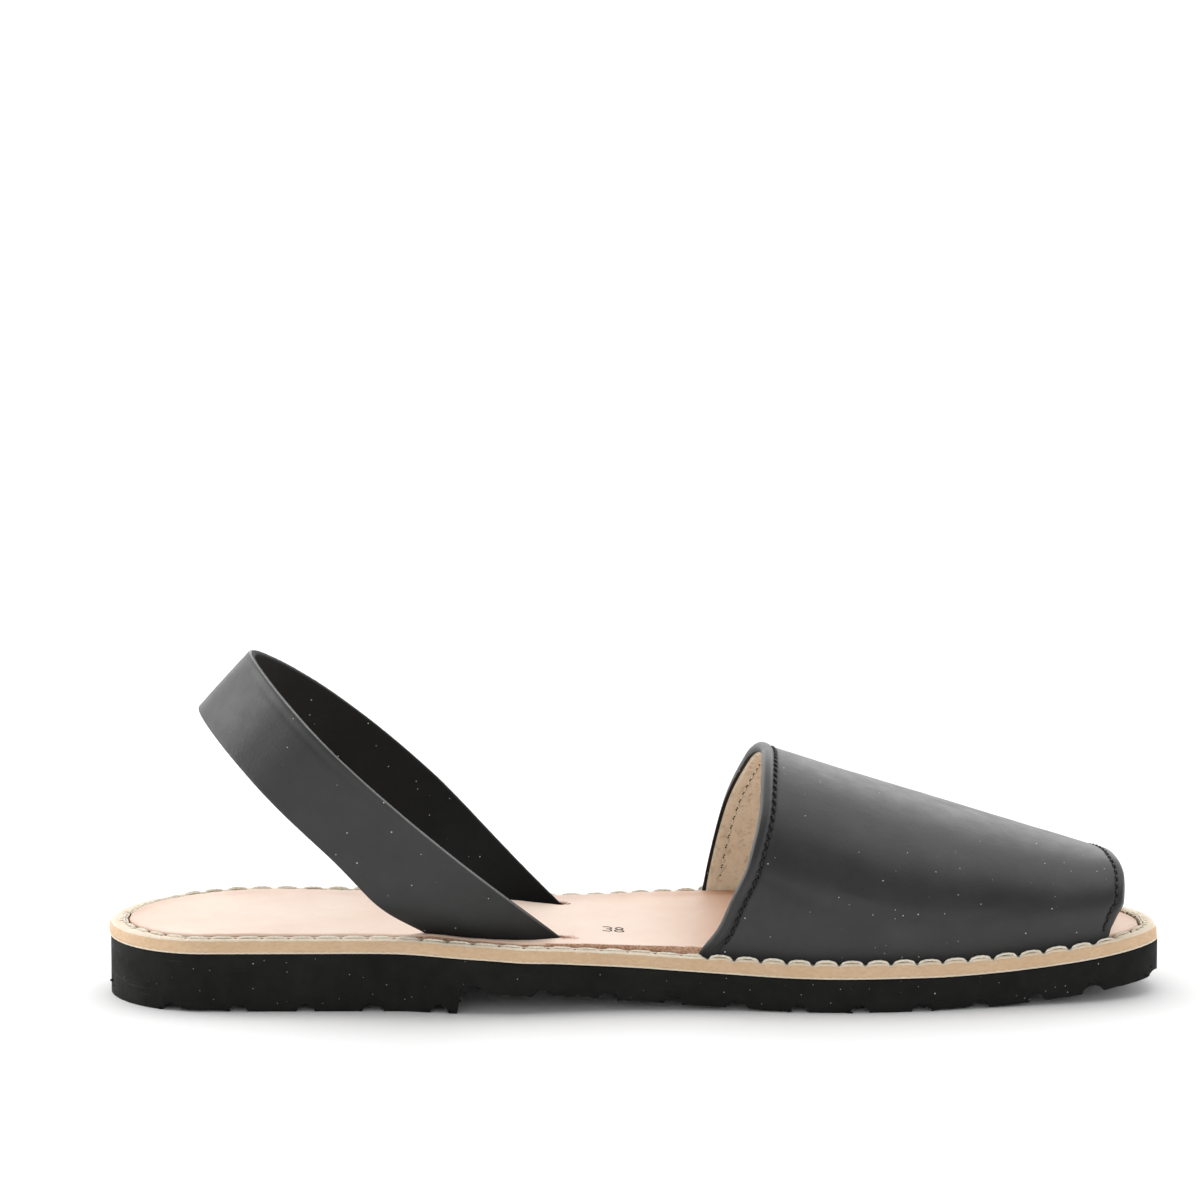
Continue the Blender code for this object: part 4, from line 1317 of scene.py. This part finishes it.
def vampSkin(arch, share, depth):  # plain skin of the vamp at a depth inside its outer face
    throat = readCurve(vampEdges, "arch", "throat", arch)
    toe = readCurve(vampEdges, "arch", "toe", arch)
    x = sole["length"] * mix(throat, toe, share)
    along = x / sole["length"]
    wallFoot = sole["ring"] - sole["gap"] - vamp["wall"]
    medial = footLine("medial", x, wallFoot + depth)
    lateral = footLine("lateral", x, wallFoot + depth)
    fullness = readCurve(vampSections, "along", "fullness", along)
    crown = vamp["instep"] * readCurve(vampSections, "along", "height", along) - depth
    angle = math.pi * arch
    across = np.abs(np.cos(angle)) ** (2.0 / fullness)
    up = np.maximum(np.sin(angle), 0.0) ** (2.0 / fullness)
    bulge = vamp["bulge"] * 4.0 * up * (1.0 - up)
    side = np.where(arch < 0.5, -1.0, 1.0)
    y = (medial + lateral) / 2.0 + side * across * ((lateral - medial) / 2.0 + bulge)
    z = ringTop(x) + sole["gap"] + crown * up
    return np.stack(np.broadcast_arrays(x, y, z), -1)


def vampSpacing():  # arch values evenly spaced over the skin, closer at both feet
    arch = np.linspace(0.0, 1.0, 3000)
    line = vampSkin(arch, np.full_like(arch, 0.4), 0.0)
    run = np.concatenate([[0.0], np.cumsum(np.linalg.norm(np.diff(line, axis=0), axis=1))])
    share = np.linspace(-1.0, 1.0, vamp["archSteps"] + 1)
    share = share * (1.0 + 0.22 * (1.0 - np.abs(share) ** 1.5))
    share = (share + 1.0) / 2.0
    return np.interp(share * run[-1], run, arch)


def edgeDistance(grid, atStart):  # distance of each point from one cut edge
    edge = grid[:, 0] if atStart else grid[:, -1]
    along = np.gradient(edge, axis=0)
    along /= np.linalg.norm(along, axis=1)[:, None]
    reach = grid - edge[:, None]
    forward = (reach * along[:, None]).sum(-1, keepdims=True)
    return np.linalg.norm(reach - forward * along[:, None], axis=-1)


creases = (  # x, height above the ring, half length, angle, depth; soft folds on the inner side
    (0.1700, 0.0175, 0.0100, 18.0, 0.00022), (0.1760, 0.0140, 0.0120, 12.0, 0.00020),
    (0.1845, 0.0165, 0.0090, 24.0, -0.00016), (0.1820, 0.0105, 0.0130, 8.0, 0.00018),
    (0.1930, 0.0125, 0.0100, 15.0, 0.00014), (0.1720, 0.0070, 0.0080, 4.0, 0.00016),
    (0.2020, 0.0085, 0.0120, 6.0, -0.00012), (0.2140, 0.0100, 0.0110, -6.0, 0.00010),
)


def creaseDepth(points, side):
    total = np.zeros(points.shape[:-1])
    height = points[..., 2] - ringTop(points[..., 0])
    onSide = 1.0 - smoothStep(-0.004, 0.006, points[..., 1] * (1.0 if side == "medial" else -1.0))
    for x, z, reach, angle, depth in creases:
        turn = math.radians(angle)
        dx, dz = points[..., 0] - x, height - z
        along = dx * math.cos(turn) - dz * math.sin(turn)
        across = dx * math.sin(turn) + dz * math.cos(turn)
        total += depth * np.exp(-((along / reach) ** 2)) * np.exp(-((across / 0.0017) ** 2))
    return total * onSide


def vampLength():
    share = np.linspace(0.0, 1.0, vamp["lengthSteps"] + 1)
    even = share
    ends = (1.0 - np.cos(math.pi * share)) / 2.0
    return 0.45 * even + 0.55 * ends


def shapeOuter(grid, normals):  # rim beads, rounded cut edges, stitch channels, creases and slow waves, kept weak near the foot
    fromThroat = edgeDistance(grid, True)
    fromToe = edgeDistance(grid, False)
    r = 0.00085
    roundIn = np.where(fromThroat < r, r - np.sqrt(np.maximum(r * r - (r - fromThroat) ** 2, 0.0)), 0.0)
    bead = 0.00050 * smoothStep(0.0, 0.0010, fromThroat) * (1.0 - smoothStep(0.0019, 0.0031, fromThroat))
    channel = 0.00034 * bump(fromThroat, 0.0035, 0.00060)
    r2 = 0.00070
    roundToe = np.where(fromToe < r2, r2 - np.sqrt(np.maximum(r2 * r2 - (r2 - fromToe) ** 2, 0.0)), 0.0)
    beadToe = 0.00016 * smoothStep(0.0, 0.0008, fromToe) * (1.0 - smoothStep(0.0012, 0.0022, fromToe))
    channelToe = 0.00018 * bump(fromToe, 0.0022, 0.00045)
    move = bead + beadToe - channel - channelToe - roundIn - roundToe
    move = move - creaseDepth(grid, "medial")
    move = move + wobble(grid, 0.040, 71) * 0.00018 + wobble(grid, 0.011, 72) * 0.000035
    high = smoothStep(0.0012, 0.0040, grid[..., 2] - ringTop(grid[..., 0]))
    move = move * mix(0.25, 1.0, high)
    return grid + normals * move[..., None]


def turnOutFoot(grid):  # the wall's base flares over the ring and is pulled down at each stitch
    height = grid[..., 2] - ringTop(grid[..., 0]) - sole["gap"]
    outward = np.where(grid[..., 1] < footLine("medial", grid[..., 0], 0.02), -1.0, 0.0)
    outward = outward + np.where(grid[..., 1] > footLine("lateral", grid[..., 0], 0.02), 1.0, 0.0)
    flare = vamp["reach"] * np.exp(-(np.maximum(height, 0.0) / 0.00125) ** 1.1) * 0.80
    rounding = 0.00035 * (1.0 - clampShare(height / 0.0005)) ** 2
    halfRuns = medialCount
    medialRun = np.interp(grid[..., 0], rim[:halfRuns, 0], runs[:halfRuns])
    lateralRun = np.interp(grid[..., 0], rim[halfRuns:, 0][::-1], runs[halfRuns:][::-1])
    run = np.where(outward < 0.0, medialRun, lateralRun)
    pull = holeNearness(run, 0.0011)
    low = np.exp(-(height / 0.0012) ** 2)
    moved = grid.copy()
    moved[..., 1] += outward * (flare - rounding + 0.00035 * pull * low)
    moved[..., 2] -= (0.00055 * pull - 0.00010) * low * np.abs(outward)
    return moved


def buildVamp():
    archs, shares = vampSpacing(), vampLength()
    arch, share = np.meshgrid(archs, shares, indexing="ij")
    outer = vampSkin(arch, share, 0.0)
    normals = surfaceNormals(outer)
    if normals[len(archs) // 2, len(shares) // 2, 2] < 0.0:
        normals = -normals
    fromThroat, fromToe = edgeDistance(outer, True), edgeDistance(outer, False)
    skin = turnOutFoot(shapeOuter(outer, normals))
    folded = (vamp["wall"] - vamp["leather"]) * np.exp(-((np.minimum(fromThroat, fromToe * 1.6) / 0.0012) ** 4))
    back = vampSkin(arch, share, vamp["leather"] + folded)
    rows, columns = arch.shape
    # painted shade: darker towards the foot of the wall, in the stitch channels by the throat and toe edges, and over
    # the whole back face
    low = skin[..., 2] - ringTop(skin[..., 0])
    shade = 0.97 * np.exp(-(np.maximum(low, 0.0) / 0.0026) ** 1.6)
    shade = np.maximum(shade, 0.75 * bump(fromThroat, 0.0035, 0.00050))
    shade = np.maximum(shade, 0.60 * bump(fromToe, 0.0022, 0.00040))
    shade = np.concatenate([shade.reshape(-1), np.full(rows * columns, 0.6)])
    points = np.concatenate([skin.reshape(-1, 3), back.reshape(-1, 3)])
    faces = gridFaces(rows, columns) + gridFaces(rows, columns, start=rows * columns)
    second = rows * columns
    for r in range(rows - 1):
        for c in (0, columns - 1):
            a, b = r * columns + c, (r + 1) * columns + c
            faces.append([a, b, b + second, a + second])
    for c in range(columns - 1):
        for r in (0, rows - 1):
            a, b = r * columns + c, r * columns + c + 1
            faces.append([a, b, b + second, a + second])
    piece = addPiece("vampLeather", points, faces, [leatherBlack], None, 55.0, shade=shade)
    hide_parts("vamp")
    # lining: starts a little inside both cut edges
    share = 0.0085 + share * 0.983
    lineOuter = vampSkin(arch, share, vamp["leather"] + 0.00002)
    lineInner = vampSkin(arch, share, vamp["wall"])
    inNormals = surfaceNormals(lineInner)
    if inNormals[len(archs) // 2, len(shares) // 2, 2] > 0.0:
        inNormals = -inNormals
    fromThroat, fromToe = edgeDistance(lineInner, True) + 0.0007, edgeDistance(lineInner, False) + 0.0007
    settle = 0.00060 * np.exp(-((np.minimum(fromThroat, fromToe * 1.4) / 0.00115) ** 6))
    groove = 0.00016 * bump(fromThroat, 0.0040, 0.0005)
    soft = wobble(lineInner, 0.018, 81) * 0.00012
    lineInner = lineInner - inNormals * (settle + groove - soft)[..., None]
    points = np.concatenate([lineInner.reshape(-1, 3), lineOuter.reshape(-1, 3)])
    addPiece("vampLining", points, faces, [leatherLining], None, 55.0)
    skinRows = (skin, edgeDistance(outer, True), edgeDistance(outer, False), normals)
    return skinRows, (lineInner, fromThroat, inNormals)


def rowAlong(grid, distance, target, normals, fromEnd):  # a line at a set distance from a cut edge
    line, ups = [], []
    for row in range(grid.shape[0]):
        order = slice(None, None, -1) if fromEnd else slice(None)
        far = distance[row][order]
        line.append([np.interp(target, far, grid[row][order][:, i]) for i in range(3)])
        ups.append([np.interp(target, far, normals[row][order][:, i]) for i in range(3)])
    return np.array(line), np.array(ups)


def buildRow(name, line, ups, pitch, length, slant, radius, sink, material, pitMaterial, skip=0.0016):
    run = np.concatenate([[0.0], np.cumsum(np.linalg.norm(np.diff(line, axis=0), axis=1))])
    count = int((run[-1] - 2.0 * skip) / pitch)
    parts, pits = [], []
    for stitch in range(count):
        middle = skip + (stitch + 0.5) * pitch
        places = np.linspace(middle - length / 2.0, middle + length / 2.0, 7)
        path = np.stack([np.interp(places, run, line[:, i]) for i in range(3)], 1)
        up = np.stack([np.interp(places, run, ups[:, i]) for i in range(3)], 1)
        ahead = path[-1] - path[0]
        ahead /= np.linalg.norm(ahead)
        side = np.cross(up[3], ahead)
        share = np.linspace(-1.0, 1.0, 7)
        arc = 1.0 - share ** 2
        path = path + side * (share * slant)[:, None] + up * (arc * radius * 1.1 - sink)[:, None]
        parts.append(tubeMesh(path, radius * (0.55 + 0.45 * np.sqrt(arc)), 6))
        # dark plugs at both ends of each stitch: painted shade inside the holes
        for end in (0, -1):
            hole = path[end] + ahead * (0.00020 if end else -0.00020)
            depths = np.outer(np.array([-0.9, -0.3, 0.16]), up[3]) * radius * 2.2
            pits.append(tubeMesh(hole + depths + up[3] * sink * 0.9, radius * 0.92, 7))
    points, faces = joinParts(parts)
    addPiece(name + "Thread", points, faces, [material], None, 180.0)
    points, faces = joinParts(pits)
    addPiece(name + "Holes", points, faces, [pitMaterial], None, 180.0)


(skin, skinFromThroat, skinFromToe, outNormals), (lineInner, lineFromThroat, inNormals) = buildVamp()
print("vamp made")

line, ups = rowAlong(skin, skinFromThroat, 0.0035, outNormals, False)
buildRow("throat", line[5:-5], ups[5:-5], 0.00260, 0.00150, 0.00034, 0.00034, 0.00012, threadBlack, pitDark)
line, ups = rowAlong(skin, skinFromToe, 0.0022, outNormals, True)
buildRow("toe", line[5:-5], ups[5:-5], 0.00240, 0.00145, 0.00018, 0.00030, 0.00010, threadBlack, pitDark)
line, ups = rowAlong(lineInner, lineFromThroat, 0.0040, inNormals, False)
buildRow("lining", line[2:-2], ups[2:-2], 0.00265, 0.00165, 0.00005, 0.00026, 0.00006, threadPale, pitDark)
print("edge stitches made")


# small things on the insole: size number and the frayed end of the near slit

sizeMark = {
    "number": "38",
    "x": 0.1222,
    "y": -0.0046,
    "width": 0.0021,
    "height": 0.0046,
    "step": 0.0030,
    "line": 0.00056,
}

digitLines = {  # strokes on a grid 2 wide and 4 high
    "3": (((0.0, 3.6), (0.6, 4.0), (1.5, 4.0), (2.0, 3.4), (2.0, 2.7), (1.4, 2.1), (0.8, 2.1)),
          ((1.4, 2.1), (2.0, 1.5), (2.0, 0.6), (1.5, 0.0), (0.6, 0.0), (0.0, 0.4))),
    "8": (((1.0, 2.1), (0.2, 2.7), (0.2, 3.5), (0.7, 4.0), (1.3, 4.0), (1.8, 3.5), (1.8, 2.7), (1.0, 2.1)),
          ((1.0, 2.1), (0.0, 1.4), (0.0, 0.5), (0.6, 0.0), (1.4, 0.0), (2.0, 0.5), (2.0, 1.4), (1.0, 2.1))),
}


def buildSizeMark():
    parts = []
    for place, digit in enumerate(sizeMark["number"]):
        for stroke in digitLines[digit]:
            corners = np.array(stroke) / np.array([2.0, 4.0])
            path = np.zeros((len(corners), 3))
            path[:, 0] = sizeMark["x"] + place * sizeMark["step"] + corners[:, 0] * sizeMark["width"]
            path[:, 1] = sizeMark["y"] + (corners[:, 1] - 0.5) * sizeMark["height"]
            fine = np.linspace(0.0, 1.0, 40)
            knots = np.linspace(0.0, 1.0, len(path))
            path = np.stack([np.interp(fine, knots, path[:, i]) for i in range(3)], 1)
            flat = insoleTop(path[:, 0]) + insoleHeight(path[:, 0], path[:, 1], path[:, 1] + 0.03, 0.03 - path[:, 1])
            path[:, 2] = flat - sizeMark["line"] * 0.28
            parts.append(tubeMesh(path, sizeMark["line"] / 2.0, 8))
    points, faces = joinParts(parts)
    addPiece("sizeMark", points, faces, [pitBrown], None, 180.0)


def buildFrayedSlits():
    rng = np.random.default_rng(77)
    parts = []
    for x, y, spread, count in ((0.1130, -0.0180, 0.0012, 110), (0.1126, 0.0200, 0.0008, 30), (0.0850, -0.0245, 0.0010, 20)):
        for _ in range(count):
            start = np.array([x + rng.normal(0.0, spread), y + rng.normal(0.0, spread * 0.45), 0.0])
            start[2] = float(insoleTop(start[0])) - 0.00010
            way = rng.normal(size=3) * np.array([1.0, 0.8, 0.5])
            way[2] = abs(way[2]) * 0.6
            way = way / np.linalg.norm(way) * rng.uniform(0.0005, 0.0013)
            bend = rng.normal(size=3) * 0.00022
            share = np.linspace(0.0, 1.0, 5)[:, None]
            path = start + way * share + bend * share ** 2
            parts.append(tubeMesh(path, 0.00007 * (1.0 - 0.6 * share[:, 0]), 4))
    points, faces = joinParts(parts)
    addPiece("slitFray", points, faces, [leatherRaw], None, 180.0)


buildSizeMark()
buildFrayedSlits()
print("small details made")


# camera, floor and light

view = {
    "place": (-0.0085, -2.1871, 0.5188),
    "tilt": 79.05,
    "lens": 268.95,
}

studio = {
    "floor": (0.95, 0.95, 0.95),
    "sky": 0.75,
    "front": (
        (0.0, 1.60), (0.17, 1.70), (0.42, 1.40), (0.58, 0.45),
        (0.70, 0.20), (0.84, 0.20), (0.92, 0.55), (1.0, 1.1),
    ),
    "back": ((0.0, 1.6), (0.15, 2.75), (0.55, 3.0), (0.82, 1.6), (1.0, 1.1)),
    "turn": (-0.30, 0.45),
    "top": {"place": (0.05, 0.25, 1.35), "size": (1.6, 0.9), "power": 5.0, "aim": (0.0, 0.0, 0.0)},
    "left": {"place": (-1.30, 0.25, 0.60), "size": (0.7, 0.9), "power": 6.0, "aim": (-0.06, 0.0, 0.04)},
}


def makeCamera():
    data = bpy.data.cameras.new("photoCamera")
    data.sensor_width = 36.0
    data.lens = view["lens"]
    data.clip_start, data.clip_end = 0.05, 60.0
    camera = bpy.data.objects.new("photoCamera", data)
    camera.location = view["place"]
    camera.rotation_euler = (math.radians(view["tilt"]), 0.0, 0.0)
    bpy.context.scene.collection.objects.link(camera)
    bpy.context.scene.camera = camera


def makeFloor():
    mesh = bpy.data.meshes.new("floor")
    size = 14.0
    corners = [(-size, -size, 0.0), (size, -size, 0.0), (size, size, 0.0), (-size, size, 0.0)]
    mesh.from_pydata(corners, [], [(0, 1, 2, 3)])
    material, tree, shader, place = startMaterial("floorPaper", 0.9, 0.1)
    paper = addRamp(tree, addNoise(tree, place, 2.0, 1.0), ((0.3, studio["floor"]), (0.7, studio["floor"])))
    tree.links.new(paper, shader.inputs["Base Color"])
    mesh.materials.append(material)
    floor = bpy.data.objects.new("floor", mesh)
    floor.location.z = -0.00002
    bpy.context.scene.collection.objects.link(floor)


def makeLight(name, settings):
    data = bpy.data.lights.new(name, "AREA")
    data.shape = "RECTANGLE"
    data.size, data.size_y = settings["size"]
    data.energy = settings["power"]
    lamp = bpy.data.objects.new(name, data)
    lamp.location = settings["place"]
    aim = Vector(settings["aim"]) - Vector(settings["place"])
    lamp.rotation_euler = aim.to_track_quat("-Z", "Y").to_euler()
    bpy.context.scene.collection.objects.link(lamp)


def makeSky():  # bright overhead and behind, dark low in front
    world = bpy.data.worlds.new("studioSky")
    world.use_nodes = True
    tree = world.node_tree
    background = tree.nodes["Background"]
    place = tree.nodes.new("ShaderNodeTexCoord")
    split = tree.nodes.new("ShaderNodeSeparateXYZ")
    tree.links.new(place.outputs["Generated"], split.inputs[0])
    front = addRamp(tree, split.outputs["Z"], studio["front"])
    back = addRamp(tree, split.outputs["Z"], studio["back"])
    turn = tree.nodes.new("ShaderNodeMapRange")
    turn.interpolation_type = "SMOOTHSTEP"
    turn.inputs["From Min"].default_value, turn.inputs["From Max"].default_value = studio["turn"]
    tree.links.new(split.outputs["Y"], turn.inputs["Value"])
    tree.links.new(addMix(tree, turn.outputs["Result"], front, back), background.inputs["Color"])
    background.inputs["Strength"].default_value = studio["sky"]
    bpy.context.scene.world = world


makeCamera()
makeFloor()
makeLight("topSoftbox", studio["top"])
makeLight("leftSoftbox", studio["left"])
makeSky()
bpy.context.scene.view_settings.view_transform = "Standard"
bpy.context.scene.view_settings.look = "None"
